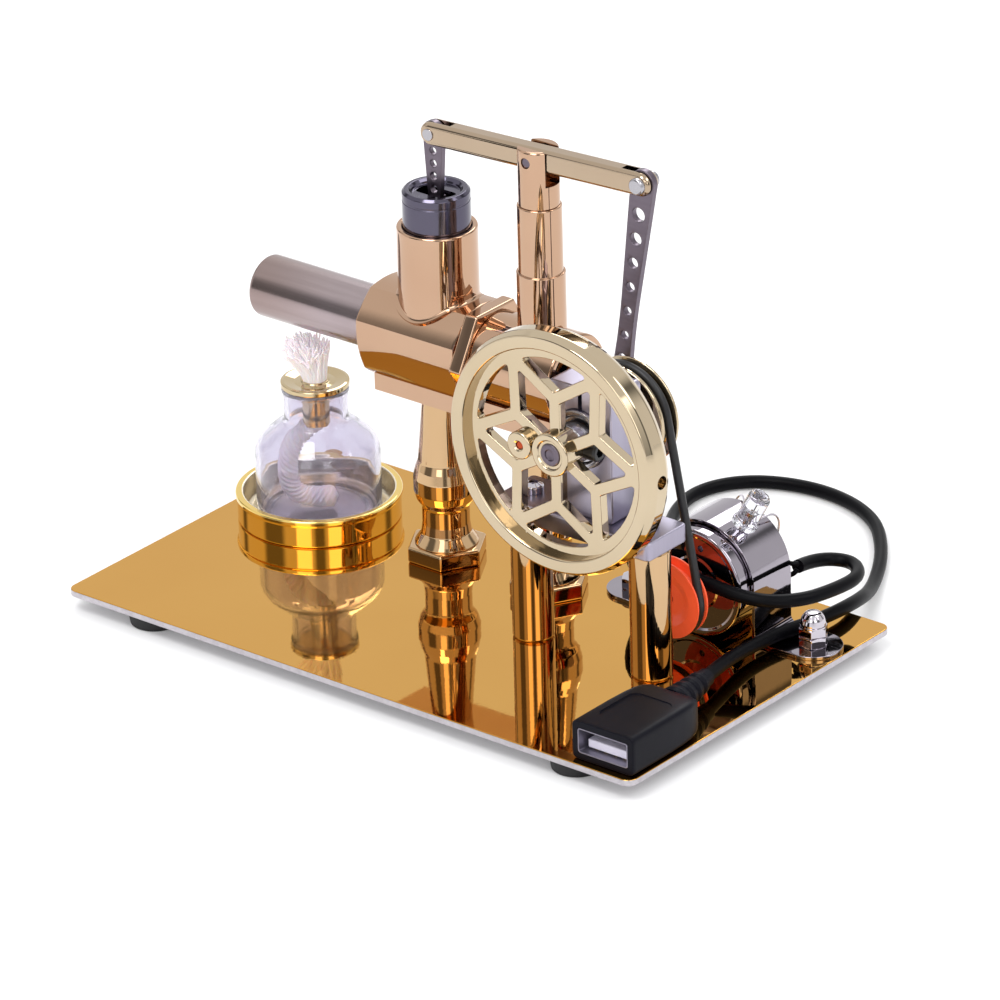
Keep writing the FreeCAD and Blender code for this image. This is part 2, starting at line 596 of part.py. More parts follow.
def nut(x, y, low, height):
    return cut(prism(3.3, height, (x, y, low)), rod(1.5, height, (x, y, low)))


keep("clamp_nuts", group(nut(leftBoltX, boltY, sheetTop, 2.6),
                         nut(rightBoltX, boltY, sheetTop, 2.4)))
acornCut = rod(1.5, 2.2, (rightBoltX, boltY, sheetTop + 2.4))
keep("acorn_nut", cut(fuse(
    prism(3.3, 2, (rightBoltX, boltY, sheetTop + 2.4)),
    shaped("acorn_dome", spun([(0, 0), (2.7, 0), (2.7, 0.8), dome(2.7, 0.8, 2.6)]),
           (rightBoltX, boltY, sheetTop + 4.4))), acornCut))


def beltShape():
    """Round belt: two tangent arcs and two straight runs about the wheels."""
    gap = float(D["belt_radius"]) + float(D["belt_gap"])
    r0, r1 = float(D["pulley_groove"]) + gap, float(D["drive_groove"]) + gap
    top = V(float(crankX), 0, float(axisZ))
    low = V(float(D["motor_x"]), 0, float(motorZ))
    along = low - top
    heading = math.atan2(along.z, along.x)
    lean = math.acos((r0 - r1) / along.Length)

    def spot(centre, radius, angle):
        return centre + V(radius * math.cos(angle), 0, radius * math.sin(angle))

    a, b = heading + lean, heading - lean
    edges = [Part.LineSegment(spot(top, r0, a), spot(low, r1, a)).toShape(),
             Part.Arc(spot(low, r1, a), spot(low, r1, heading), spot(low, r1, b)).toShape(),
             Part.LineSegment(spot(low, r1, b), spot(top, r0, b)).toShape(),
             Part.Arc(spot(top, r0, b), spot(top, r0, heading + math.pi),
                      spot(top, r0, a)).toShape()]
    path = Part.Wire(edges)
    ring = Part.Wire([Part.Circle(spot(top, r0, a), spot(low, r1, a) - spot(top, r0, a),
                                  float(D["belt_radius"])).toShape()])
    return path.makePipeShell([ring], True, False)


keep("drive_belt", shaped("drive_belt", beltShape(), (0, D["belt_y"], 0)))

# ---------------------------------------------------------------- indicator lamp
ledUp = V(4.1, 1, 7.8).normalize()
ledTurn = FreeCAD.Rotation(V(0, 0, 1), ledUp)
ledFoot = (54.0, 24.5, 30.3)
keep("led_lens", shaped("led_lens", spun([
    (0, 0), (2.9, 0), (2.9, 1), (2.5, 1), (2.5, 6.1), dome(2.5, 6.1, 2.49)]), ledFoot, ledTurn))


def tube(route, radius, report=""):
    """Round tube along straight runs joined by tangent arcs as large as the runs allow."""
    points = [V(*point) for point in route]
    edges, start, radii = [], points[0], []
    for before, here, after in zip(points, points[1:], points[2:]):
        back, forth = (before - here), (after - here)
        shorter = min(back.Length, forth.Length)
        half = (math.pi - back.getAngle(forth)) / 2
        bend = 0.45 * shorter / math.tan(half)
        reachBack = here + back.normalize() * 0.45 * shorter
        reachForth = here + forth.normalize() * 0.45 * shorter
        inward = (back + forth).normalize()
        middle = here + inward * (bend / math.cos(half) - bend)
        edges.append(Part.LineSegment(start, reachBack).toShape())
        edges.append(Part.Arc(reachBack, middle, reachForth).toShape())
        start = reachForth
        radii.append(round(bend, 1))
    edges.append(Part.LineSegment(start, points[-1]).toShape())
    path = Part.Wire(edges)
    ring = Part.Wire([Part.Circle(points[0], points[1] - points[0], radius).toShape()])
    solid = path.makePipeShell([ring], True, False)
    expected = math.pi * radius ** 2 * path.Length
    print(report, "length", round(path.Length, 1), "bend radii", radii,
          "volume ratio", round(solid.Volume / expected, 4))
    return solid


ledUnder = V(*ledFoot) - ledUp * 0.25
ledAcross = V(0, 0, 1).cross(ledUp).normalize() * 1.27
ledRoutes = [
    [tuple(ledUnder + ledAcross), (50.6, 29.6, 31.6), (45.0, 35.4, 31.4), (41.0, 36.6, 25.5),
     (40.4, 35.2, 18.2)],
    [tuple(ledUnder - ledAcross), (54.0, 29.0, 29.6), (55.0, 34.6, 29.6), (54.4, 36.6, 24.5),
     (52.4, 35.2, 18.2)]]
keep("led_leads", group(*[
    shaped("led_lead", tube(route, 0.25, "led lead")) for route in ledRoutes]))

# ---------------------------------------------------------------- power lead and its socket
cordRoute = [(59.6, 35.7, 17.6), (58.6, 43.6, 16.2), (65.0, 48.2, 15.6), (71.5, 42.0, 16.2),
             (72.2, 32.0, 17.2), (70.0, 22.5, 17.6), (63.0, 15.6, 18.2), (50.0, 13.9, 20.2),
             (37.5, 13.6, 20.4), (27.0, 17.5, 18.0), (22.5, 29.0, 13.0), (19.0, 41.5, 9.0),
             (11.0, 54.0, 4.2), (1.5, 66.0, 1.6), (-2.5, 80.0, 1.6), (4.5, 92.0, 1.6),
             (20.5, 97.0, 1.6), (37.5, 92.5, 1.6), (50.0, 79.0, 1.6), (59.5, 62.5, 1.9),
             (66.8, 47.0, 7.0), (66.6, 35.0, 7.6), (63.4, 25.0, 7.4), (62.4, 14.5, 7.6),
             (63.6, 4.5, 8.6), (65.5, -4.0, 9.1)]
keep("usb_cable", shaped("usb_cable", tube(cordRoute, float(D["cord_radius"]), "cable")))
wireRoutes = {
    "red": [(59.6, 35.7, 18.3), (59.4, 34.6, 18.4), (56.6, 34.7, 18.4), (53.75, 34.9, 17.7)],
    "black": [(59.6, 35.6, 17.0), (59.2, 34.6, 15.6), (54.0, 34.8, 14.4), (47.0, 35.2, 14.2),
              (41.2, 35.4, 14.9), (40.4, 35.2, 16.7)]}
keep("motor_wires", group(*[
    shaped("wire_" + colour, tube(route, 0.55, colour + " wire"))
    for colour, route in wireRoutes.items()]))

plugRear = D["plug_front"] + D["plug_length"]
plugMid = D["plug_left"] + D["plug_width"] / 2
plugMidZ = deck + D["plug_height"] / 2
socketDepth = 19
plugBlock = box(D["plug_width"], D["plug_length"], D["plug_height"],
                (D["plug_left"], D["plug_front"], deck))
doc.recompute()
softPlug = doc.addObject("Part::Fillet", "soft_plug")
softPlug.Base = plugBlock
softPlug.Edges = [(i + 1, 1.4, 1.4) for i, e in enumerate(plugBlock.Shape.Edges)
                  if abs(e.tangentAt(e.FirstParameter).y) > 0.9]
openW, openH = D["socket_width"] + 0.6, D["socket_height"] + 0.6
keep("usb_socket_body", cut(softPlug, box(
    openW, socketDepth, openH,
    (plugMid - openW / 2, D["plug_front"], plugMidZ - openH / 2))))
keep("usb_socket_shell", cut(
    box(openW, socketDepth, openH,
        (plugMid - openW / 2, D["plug_front"], plugMidZ - openH / 2)),
    box(D["socket_width"], socketDepth - 0.4, D["socket_height"],
        (plugMid - D["socket_width"] / 2, D["plug_front"], plugMidZ - D["socket_height"] / 2))))
keep("usb_socket_tongue", box(11.2, 16.4, 1.9, (
    plugMid - 5.6, D["plug_front"] + 2.2, plugMidZ - D["socket_height"] / 2 + 0.35)))
reliefStart = V(float(plugMid) - 0.5, float(plugRear), float(plugMidZ))
reliefRun = V(*cordRoute[-1]) - reliefStart
relief = spun([(0, 0), (3.8, 0), (3.8, 2.2), (3.1, 2.6), (3.1, 3.4), (3.6, 3.8), (3.6, 5.2),
               (2.9, 5.6), (2.9, 6.6), (3.3, 7), (3.3, 8.4), (2.6, 8.8), (2.6, 10.2), (3, 10.6),
               (3, 12), (2.2, 12.6), (1.9, reliefRun.Length), (0, reliefRun.Length)])
keep("usb_strain_relief", cut(
    shaped("relief_turning", relief, tuple(reliefStart),
           FreeCAD.Rotation(V(0, 0, 1), reliefRun)),
    box(12, 6, 12, (plugMid - 6, plugRear - 6, deck))))

# ---------------------------------------------------------------- check and write
doc.recompute()
failed = [thing.Name + " " + thing.Label for thing in doc.Objects
          if "Invalid" in thing.State or "Error" in thing.State]
if failed:
    raise SystemExit("objects failed: " + ", ".join(failed))
for label, thing in nodes.items():
    if thing.Shape.isNull() or not thing.Shape.isValid() or thing.Shape.Volume <= 0:
        raise SystemExit("bad shape: " + label)
os.makedirs("parts", exist_ok=True)
for label, thing in nodes.items():
    thing.Shape.exportStep("parts/%s.step" % label)
print(len(nodes), "nodes written")
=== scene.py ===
import json
import math

import bmesh
import bpy
import numpy as np
from mathutils import Matrix, Vector


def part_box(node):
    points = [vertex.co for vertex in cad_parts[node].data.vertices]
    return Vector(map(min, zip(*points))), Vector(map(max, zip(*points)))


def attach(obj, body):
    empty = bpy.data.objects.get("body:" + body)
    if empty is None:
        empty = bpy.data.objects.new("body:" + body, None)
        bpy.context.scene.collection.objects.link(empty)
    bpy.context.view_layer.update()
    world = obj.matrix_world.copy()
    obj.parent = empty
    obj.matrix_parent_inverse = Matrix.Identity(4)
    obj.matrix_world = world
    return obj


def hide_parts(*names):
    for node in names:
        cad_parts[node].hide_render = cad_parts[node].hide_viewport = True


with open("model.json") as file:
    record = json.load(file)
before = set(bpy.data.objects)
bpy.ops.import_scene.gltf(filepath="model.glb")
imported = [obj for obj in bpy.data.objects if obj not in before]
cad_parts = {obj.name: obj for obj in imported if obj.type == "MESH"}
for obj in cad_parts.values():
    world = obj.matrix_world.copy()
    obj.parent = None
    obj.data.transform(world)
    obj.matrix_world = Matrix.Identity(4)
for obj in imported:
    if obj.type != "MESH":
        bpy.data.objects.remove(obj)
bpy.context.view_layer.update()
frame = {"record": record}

scene = bpy.context.scene
mm = 0.001  # every mesh below is worked out in millimetres and written in metres
record = frame["record"]
bodyOf = {node: body for body, nodes in record["behaviour"]["bodies"].items() for node in nodes}


# lowest corner, highest corner and middle of a CAD node, in mm
def cornersOf(node):
    low, high = (np.array(corner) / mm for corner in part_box(node))
    return low, high, (low + high) / 2


deckZ = cornersOf("base_plate")[1][2]
axisZ = cornersOf("crankshaft")[2][2]
engineY = cornersOf("column_left")[2][1]

# camera
viewFrom = {"lens": 287.09, "turn": 39.712, "tilt": 25.184, "roll": -1.622,
            "distance": 1.76, "target": (-0.031716, 0.047348, 0.0035)}
turn, tilt, roll = (math.radians(viewFrom[key]) for key in ("turn", "tilt", "roll"))
backward = Vector((math.sin(turn) * math.cos(tilt), -math.cos(turn) * math.cos(tilt), math.sin(tilt)))
level = Vector((math.cos(turn), math.sin(turn), 0))
upright = backward.cross(level)
rightward = math.cos(roll) * level + math.sin(roll) * upright
upward = math.cos(roll) * upright - math.sin(roll) * level
cameraData = bpy.data.cameras.new("camera")
cameraData.lens, cameraData.sensor_width = viewFrom["lens"], 36
camera = bpy.data.objects.new("camera", cameraData)
scene.collection.objects.link(camera)
facing = Matrix((rightward, upward, backward)).transposed().to_4x4()
camera.matrix_world = Matrix.Translation(
    Vector(viewFrom["target"]) + backward * viewFrom["distance"]) @ facing
scene.camera = camera
scene.view_settings.view_transform = "Standard"
print("camera made")


# shader maths
class Port:  # one output socket; an expression on ports adds its Math nodes
    def __init__(self, graph, socket):
        self.graph, self.socket = graph, socket

    def math(self, operation, *others):
        return self.graph.node("ShaderNodeMath", {"operation": operation}, dict(enumerate((self,) + others)))

    def __add__(self, other): return self.math("ADD", other)
    def __mul__(self, other): return self.math("MULTIPLY", other)
    def __sub__(self, other): return self.math("SUBTRACT", other)
    def __gt__(self, other): return self.math("GREATER_THAN", other)
    def __lt__(self, other): return self.math("LESS_THAN", other)

    def __rsub__(self, other):
        return self.graph.node("ShaderNodeMath", {"operation": "SUBTRACT"}, {0: other, 1: self})


class Graph:  # the nodes of one material or of the world
    def __init__(self, owner):
        owner.use_nodes = True
        self.tree = owner.node_tree
        self.tree.nodes.clear()

    # adds any node: its type, its settings, then the values or links of its sockets
    def node(self, kind, settings=None, sockets=None, out=0):
        made = self.tree.nodes.new(kind)
        for key, value in (settings or {}).items():
            if key == "stops":
                for i, (place, colour) in enumerate(value):
                    stop = made.color_ramp.elements[i] if i < 2 else made.color_ramp.elements.new(place)
                    stop.position, stop.color = place, (*colour, 1)
            else:
                setattr(made, key, value)
        for key, value in (sockets or {}).items():
            if isinstance(value, Port):
                self.tree.links.new(value.socket, made.inputs[key])
            else:
                made.inputs[key].default_value = value
        return Port(self, made.outputs[out]) if len(made.outputs) else None

    def blend(self, share, first, second):  # colour mix
        return self.node("ShaderNodeMix", {"data_type": "RGBA"},
                         {0: share, 6: opaque(first), 7: opaque(second)}, out=2)

    def band(self, value, low, high, soft):  # 1 between low and high, with soft edges
        rise = self.node("ShaderNodeMapRange", {"interpolation_type": "SMOOTHSTEP"},
                         {0: value, 1: low - soft, 2: low + soft, 3: 0.0, 4: 1.0})
        fall = self.node("ShaderNodeMapRange", {"interpolation_type": "SMOOTHSTEP"},
                         {0: value, 1: high - soft, 2: high + soft, 3: 1.0, 4: 0.0})
        return rise * fall


def opaque(colour):
    return (*colour, 1) if isinstance(colour, tuple) and len(colour) == 3 else colour


# display colour, 0 to 255 in each channel, to linear
def tint(red, green, blue):
    share = np.array((red, green, blue)) / 255
    linear = np.where(share > 0.04045, ((share + 0.055) / 1.055) ** 2.4, share / 12.92)
    return tuple(float(c) for c in linear)


class Finish(Graph):  # one material with its object coordinates and its noise
    def __init__(self, name):
        self.material = bpy.data.materials.new(name)
        super().__init__(self.material)
        self.place = self.node("ShaderNodeTexCoord", out=3)

    def noise(self, scale, detail=2.0, rough=0.5, stretch=(1, 1, 1)):
        place = self.place
        if stretch != (1, 1, 1):
            place = self.node("ShaderNodeMapping", {}, {0: place, 3: stretch})
        return self.node("ShaderNodeTexNoise", {}, {
            "Vector": place, "Scale": scale, "Detail": detail, "Roughness": rough})

    def between(self, value, low, high):  # a 0..1 value spread from low to high
        return value * (high - low) + low

    def close(self, height=None, lift=0.0, strength=1.0, **sockets):
        values = {key.replace("_", " "): value for key, value in sockets.items()}
        if height is not None:
            values["Normal"] = self.node("ShaderNodeBump", {}, {
                "Strength": strength, "Distance": lift, "Height": height})
        shader = self.node("ShaderNodeBsdfPrincipled", {}, values)
        self.node("ShaderNodeOutputMaterial", {}, {0: shader})
        return self.material


# polished plating: colour drifts a little, faint smudges, and a slight orange-peel
def polished(name, colour, deep, smooth=0.03, smudged=0.09, peel=0.25):
    f = Finish(name)
    drift = f.noise(45, 3)
    smudge = f.noise(260, 4, 0.6)
    worn = f.node("ShaderNodeValToRGB", {"stops": [(0.5, (0, 0, 0)), (0.72, (1, 1, 1))]}, {0: smudge})
    return f.close(f.noise(650, 2), 0.00001, peel, Metallic=1.0,
                   Base_Color=f.blend(drift, colour, deep),
                   Roughness=f.between(worn, smooth, smudged))


# brushed metal: fine lines across the named direction of stretch
def brushed(name, colour, deep, stretch, rough=(0.24, 0.4), strength=0.5, tarnish=None):
    f = Finish(name)
    lines = f.noise(900, 3, 0.6, stretch)
    broad = f.noise(70, 3)
    shade = f.blend(lines * 0.6 + broad * 0.4, colour, deep)
    if tarnish:
        low, high, burnt = tarnish
        along = f.node("ShaderNodeSeparateXYZ", {}, {0: f.place})
        heat = f.node("ShaderNodeMapRange", {"interpolation_type": "SMOOTHSTEP"},
                      {0: along + (broad - 0.5) * 0.01, 1: low, 2: high, 3: 0.55, 4: 0.0})
        shade = f.blend(heat, shade, burnt)
    return f.close(lines, 0.00002, strength, Metallic=1.0, Base_Color=shade,
                   Roughness=f.between(broad, *rough))


# moulded or painted surface with a fine grain
def moulded(name, colour, deep, rough=(0.3, 0.42), grain=1400, strength=0.25, lift=0.00003, **more):
    f = Finish(name)
    cloud = f.noise(120, 3)
    return f.close(f.noise(grain, 3, 0.6), lift, strength, Base_Color=f.blend(cloud, colour, deep),
                   Roughness=f.between(cloud, *rough), **more)


def clearBody(name, colour, edge, index=1.47, wave=0.1, clear=1.0):
    f = Finish(name)
    return f.close(f.noise(90, 2), 0.00002, wave, Base_Color=f.blend(f.noise(60, 2), colour, edge),
                   Roughness=f.between(f.noise(300, 3), 0.0, 0.03), IOR=index, Transmission_Weight=clear)


def plateFinish():
    f = Finish("plate gold")
    height = f.node("ShaderNodeSeparateXYZ", {}, {0: f.place}, out=2)
    face = height > float(deckZ - 0.12) * mm
    drift = f.noise(30, 3)
    gold = f.blend(drift, tint(214, 162, 74), tint(206, 152, 64))
    silver = f.blend(f.noise(900, 3), tint(206, 202, 206), tint(168, 162, 168))
    smudge = f.noise(180, 4, 0.62)
    worn = f.node("ShaderNodeValToRGB", {"stops": [(0.52, (0, 0, 0)), (0.8, (1, 1, 1))]}, {0: smudge})
    return f.close(f.noise(1100, 2), 0.000006, 0.35, Metallic=1.0, Base_Color=f.blend(face, silver, gold),
                   Roughness=f.between(worn, 0.025, 0.06) + (1 - face) * 0.25)


def trayFinish(middleX, middleY, reach):
    f = Finish("tray gold")
    parts = f.node("ShaderNodeSeparateXYZ", {}, {0: f.place})
    across = (parts - middleX * mm).math("POWER", 2.0)
    away = (f.node("ShaderNodeSeparateXYZ", {}, {0: f.place}, out=1) - middleY * mm).math("POWER", 2.0)
    inside = (across + away).math("SQRT") < reach * mm
    gold = f.blend(f.noise(60, 2), tint(242, 212, 132), tint(232, 198, 112))
    pale = f.blend(f.noise(160, 3), tint(244, 234, 212), tint(230, 216, 190))
    return f.close(f.noise(800, 2), 0.00001, 0.3, Metallic=1.0, Base_Color=f.blend(inside, gold, pale),
                   Roughness=f.between(f.noise(400, 3), 0.03, 0.09) + inside * 0.2)


# noise stretched along one axis, for brushed metal
lengthwise = {"y": (0.04, 1, 0.04), "z": (0.04, 0.04, 1)}
finish = {
    "roseGold": polished("rose gold", tint(194, 162, 136), tint(182, 146, 120)),
    "warmGold": polished("warm gold", tint(202, 170, 132), tint(190, 156, 114)),
    "champagne": polished("champagne", tint(202, 186, 160), tint(190, 172, 142)),
    "paleBrass": polished("pale brass", tint(204, 186, 152), tint(186, 165, 126), 0.05, 0.16),
    "beamGold": polished("beam gold", tint(184, 164, 142), tint(170, 150, 126), 0.05, 0.14),
    "smoky": polished("smoky chrome", tint(168, 162, 170), tint(142, 136, 146), 0.04, 0.12, 0.6),
    "chrome": polished("chrome", tint(206, 202, 208), tint(184, 178, 188)),
    "copper": polished("copper pin", tint(186, 84, 52), tint(150, 60, 36), 0.15, 0.3),
    "steelTube": brushed("brushed tube", tint(190, 176, 178), tint(140, 126, 128), (0.03, 1, 1),
                         (0.14, 0.24), 0.5, (-0.069, -0.045, tint(140, 118, 108))),
    "darkSteel": brushed("dark steel", tint(122, 112, 122), tint(96, 88, 98), lengthwise["z"],
                         (0.28, 0.4), 0.3),
    "steel": brushed("turned steel", tint(190, 188, 192), tint(160, 158, 164), lengthwise["y"],
                     (0.15, 0.28), 0.3),
    "silver": brushed("satin silver", tint(176, 172, 188), tint(156, 150, 168), lengthwise["y"],
                      (0.26, 0.38), 0.25),
    "graphite": polished("graphite", tint(98, 94, 108), tint(78, 75, 90), 0.12, 0.24, 0.1),
    "rubber": moulded("rubber", tint(26, 25, 27), tint(17, 17, 19), (0.55, 0.75), 900, 0.5),
    "belt": moulded("belt rubber", tint(22, 22, 26), tint(14, 14, 17), (0.35, 0.5), 2000, 0.4),
    "sheath": moulded("lead sheath", tint(7, 7, 11), tint(4, 4, 7), (0.34, 0.46), 500, 0.15,
                      Specular_IOR_Level=0.08),
    "plug": moulded("plug moulding", tint(12, 12, 22), tint(8, 8, 16), (0.34, 0.46), 2600, 0.3,
                    Specular_IOR_Level=0.1),
    "satin": moulded("plug shell", tint(150, 146, 160), tint(122, 118, 132), (0.3, 0.42), 900, 0.1,
                     Metallic=0.85),
    "black": moulded("black screw", tint(16, 15, 17), tint(9, 8, 10), (0.22, 0.34), 1200, 0.2),
    "tongue": moulded("plug tongue", tint(232, 228, 242), tint(216, 212, 228), (0.3, 0.42)),
    # the pulley's orange plastic has a painted glow: a faint orange emission makes it brighter than its
    # lighting, though it is no lamp
    "orange": moulded("glowing orange plastic", tint(255, 100, 60), tint(248, 84, 48), (0.26, 0.4), 700, 0.12,
                      Emission_Color=(1.0, 0.14, 0.04, 1), Emission_Strength=0.12),
    "ivory": moulded("ivory plastic", tint(226, 222, 210), tint(206, 200, 188), (0.4, 0.5)),
    "redWire": moulded("red wire", tint(196, 22, 48), tint(160, 12, 34), (0.25, 0.35)),
    # the cotton has a painted glow: a faint pinkish emission stands in for light passing through the fibres
    "cotton": moulded("cotton", tint(255, 250, 252), tint(246, 236, 244), (0.8, 0.95), 2400, 0.8, 0.00015,
                      Sheen_Weight=0.3, Subsurface_Weight=0.2, Subsurface_Scale=0.001,
                      Emission_Color=(1.0, 0.93, 0.96, 1), Emission_Strength=0.06),
    "glass": clearBody("bottle glass", tint(236, 233, 245), tint(231, 228, 241), 1.47, 0.05, 0.92),
    "lens": clearBody("lens epoxy", tint(250, 250, 255), tint(242, 244, 252), 1.52, 0.05),
    "floor": moulded("floor", tint(226, 226, 227), tint(223, 223, 224), (0.8, 0.9), 40, 0.02,
                     Emission_Color=(1, 1, 1, 1), Emission_Strength=0.12),
    "plate": plateFinish(),
}
print("finishes made:", len(finish))


# mesh makers, all in mm
# points (rows, columns, 3) to a mesh of quads; closed rows or columns wrap round, poles are merged
def gridMesh(points, closeRows=False, closeColumns=True):
    rows, columns = points.shape[:2]
    index = np.arange(rows * columns).reshape(rows, columns)
    right, below = np.roll(index, -1, 1), np.roll(index, -1, 0)
    corner = np.roll(right, -1, 0)
    quads = np.stack([index, right, corner, below], -1)
    quads = quads[:None if closeRows else -1, :None if closeColumns else -1].reshape(-1, 4)
    mesh = bpy.data.meshes.new("grid")
    mesh.from_pydata(points.reshape(-1, 3).tolist(), [], quads.tolist())
    return cleaned(mesh)


def cleaned(mesh):
    work = bmesh.new()
    work.from_mesh(mesh)
    bmesh.ops.remove_doubles(work, verts=work.verts, dist=1e-5)
    bmesh.ops.holes_fill(work, edges=[e for e in work.edges if e.is_boundary])
    bmesh.ops.recalc_face_normals(work, faces=work.faces)
    work.to_mesh(mesh)
    work.free()
    return mesh


# a path of corners, each turned by an arc of its bend, tangent to both runs,
# with a point just outside each arc
def rounded(corners, bend=0.3, steps=5, closed=False):
    corners = [np.array(c[:2], float) for c in corners]
    bends = bend if isinstance(bend, (list, tuple)) else [bend] * len(corners)
    made = [] if closed else [corners[0]]
    count = len(corners)
    for i in range(0 if closed else 1, count if closed else count - 1):
        here, back, forth = corners[i], corners[i - 1], corners[(i + 1) % count]
        a, b = back - here, forth - here
        lengthA, lengthB = np.linalg.norm(a), np.linalg.norm(b)
        a, b = a / lengthA, b / lengthB
        half = math.acos(max(-1, min(1, float(a @ b)))) / 2
        reach = min(bends[i] / max(math.tan(half), 1e-6), 0.46 * lengthA, 0.46 * lengthB)
        if bends[i] <= 0 or half > 1.55:
            made.append(here)
            continue
        radius = reach * math.tan(half)
        middle = here + (a + b) / np.linalg.norm(a + b) * radius / math.sin(half)
        start, end = here + a * reach - middle, here + b * reach - middle
        first = math.atan2(start[1], start[0])
        sweep = (math.atan2(end[1], end[0]) - first + math.pi) % (2 * math.pi) - math.pi
        angles = first + sweep * np.linspace(0, 1, steps)
        made.append(here + a * min(reach * 1.15, 0.48 * lengthA))
        made.extend(middle + radius * np.stack([np.cos(angles), np.sin(angles)], 1))
        made.append(here + b * min(reach * 1.15, 0.48 * lengthB))
    if not closed:
        made.append(corners[-1])
    return np.array(made)


# x, y, z from two directions across an axis and one along it
def across(axis, first, second, height):
    return np.stack({"z": (first, second, height), "x": (height, first, second),
                     "y": (second, height, first)}[axis], -1)


# profile of (radius, height) turned about an axis through middle
def latheMesh(profile, middle, axis="z", sides=96, closed=False):
    angles = np.linspace(0, 2 * math.pi, sides, endpoint=False)
    radius, height = np.array(profile)[:, 0:1], np.array(profile)[:, 1:2]
    points = across(axis, radius * np.cos(angles), radius * np.sin(angles), height + 0 * angles)
    return gridMesh(points + np.array(middle, float), closeRows=closed)


def heldMesh(data, modifiers=()):
    holder = bpy.data.objects.new("holder", data)
    scene.collection.objects.link(holder)
    for kind, settings in modifiers:
        modifier = holder.modifiers.new(kind, kind)
        for key, value in settings.items():
            setattr(modifier, key, value)
    bpy.context.view_layer.update()
    made = bpy.data.meshes.new_from_object(holder.evaluated_get(bpy.context.evaluated_depsgraph_get()))
    bpy.data.objects.remove(holder)
    return made


# flat outlines (the first is outside, the rest are holes) given a thickness and rounded edges
def plateMesh(outlines, thick, edge, axis="z", at=(0, 0, 0), turned=0.0, steps=2):
    curve = bpy.data.curves.new("outline", "CURVE")
    curve.dimensions, curve.fill_mode = "2D", "BOTH"
    curve.extrude, curve.bevel_depth = thick / 2 - edge, edge
    curve.bevel_resolution, curve.offset = steps, -edge
    for outline in outlines:
        spline = curve.splines.new("POLY")
        spline.points.add(len(outline) - 1)
        flat = np.c_[np.array(outline)[:, :2], np.zeros(len(outline)), np.ones(len(outline))]
        spline.points.foreach_set("co", flat.ravel())
        spline.use_cyclic_u = True
    mesh = heldMesh(curve)
    x, y, z = vertices(mesh).T
    c, s = math.cos(turned), math.sin(turned)
    moved = across(axis, x * c - y * s, x * s + y * c, z + thick / 2)
    return cleaned(rewritten(mesh, moved + np.array(at, float)))


def vertices(mesh):
    values = np.empty(len(mesh.vertices) * 3)
    mesh.vertices.foreach_get("co", values)
    return values.reshape(-1, 3)


def rewritten(mesh, points):
    mesh.vertices.foreach_set("co", np.ascontiguousarray(points, float).ravel())
    return mesh


def merged(*meshes):
    work = bmesh.new()
    for mesh in meshes:
        work.from_mesh(mesh)
    whole = bpy.data.meshes.new("merged")
    work.to_mesh(whole)
    work.free()
    return whole


def carved(mesh, *tools):
    holders = [bpy.data.objects.new("tool", tool) for tool in tools]
    for holder in holders:
        scene.collection.objects.link(holder)
    made = heldMesh(mesh, [("BOOLEAN", {"object": holder, "operation": "DIFFERENCE", "solver": "EXACT"})
                           for holder in holders])
    for holder in holders:
        bpy.data.objects.remove(holder)
    return cleaned(made)


def circle(radius, middle=(0, 0), sides=64):
    angles = np.linspace(0, 2 * math.pi, sides, endpoint=False)
    return np.stack([middle[0] + radius * np.cos(angles), middle[1] + radius * np.sin(angles)], 1)


def rectangle(low, high, bend, steps=6):
    return rounded([(low[0], low[1]), (high[0], low[1]), (high[0], high[1]), (low[0], high[1])],
                   bend, steps, closed=True)


# box with rounded vertical edges and softened rims
def blockMesh(low, high, bend=0.4, edge=0.2):
    return plateMesh([rectangle(low[:2], high[:2], bend)], high[2] - low[2], edge, at=(0, 0, low[2]))


# a round section carried along each of several paths: tangent, then two directions across it
def tubeMesh(paths, radius, sides=12):
    tangent = np.gradient(paths, axis=1)
    tangent /= np.linalg.norm(tangent, axis=2, keepdims=True)
    guide = np.array((0.37, 0.61, 0.7))
    first = np.cross(tangent, guide)
    first /= np.linalg.norm(first, axis=2, keepdims=True)
    second = np.cross(tangent, first)
    angles = np.linspace(0, 2 * math.pi, sides, endpoint=False)
    size = np.broadcast_to(np.asarray(radius, float), paths.shape[:2])[..., None, None]
    ring = first[:, :, None] * np.cos(angles)[:, None] + second[:, :, None] * np.sin(angles)[:, None]
    skins = paths[:, :, None] + ring * size
    return merged(*[gridMesh(skin) for skin in skins])


# rod with rounded ends, from low to high along an axis through spot
def rodAlong(spot, radius, low, high, bend, steps=4, sides=48, axis="y"):
    profile = rounded([(0, low), (radius, low), (radius, high), (0, high)], bend, steps)
    return latheMesh(profile, spot, axis, sides)


# plain cylinder for cutting
def barrelTool(spot, radius, low, high, axis="y", sides=48):
    return latheMesh([(0, low), (radius, low), (radius, high), (0, high)], spot, axis, sides)


# smooth curve through a few points, by repeated corner cutting
def flowing(points, rounds=4):
    path = np.array(points, float)
    for _ in range(rounds):
        inner = np.stack([path[:-1] * 0.75 + path[1:] * 0.25, path[:-1] * 0.25 + path[1:] * 0.75], 1)
        path = np.concatenate([path[:1], inner.reshape(-1, 3)[1:-1], path[-1:]])
    return path


# puts a mesh of millimetres into the scene as a piece that stands for its CAD nodes
def settle(name, mesh, material, *nodes, body=None, slotName=None, sharp=34, stands=True):
    rewritten(mesh, vertices(mesh) * mm)
    mesh.shade_smooth()
    mesh.set_sharp_from_angle(angle=math.radians(sharp))
    mesh.materials.clear()
    for each in material if isinstance(material, (list, tuple)) else [material]:
        mesh.materials.append(each)
    mesh.name = name
    thing = bpy.data.objects.new(name, mesh)
    scene.collection.objects.link(thing)
    even = thing.modifiers.new("even normals", "WEIGHTED_NORMAL")
    even.keep_sharp, even.weight = True, 80
    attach(thing, body or bodyOf[nodes[0]])
    if stands:
        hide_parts(*nodes)
    return thing


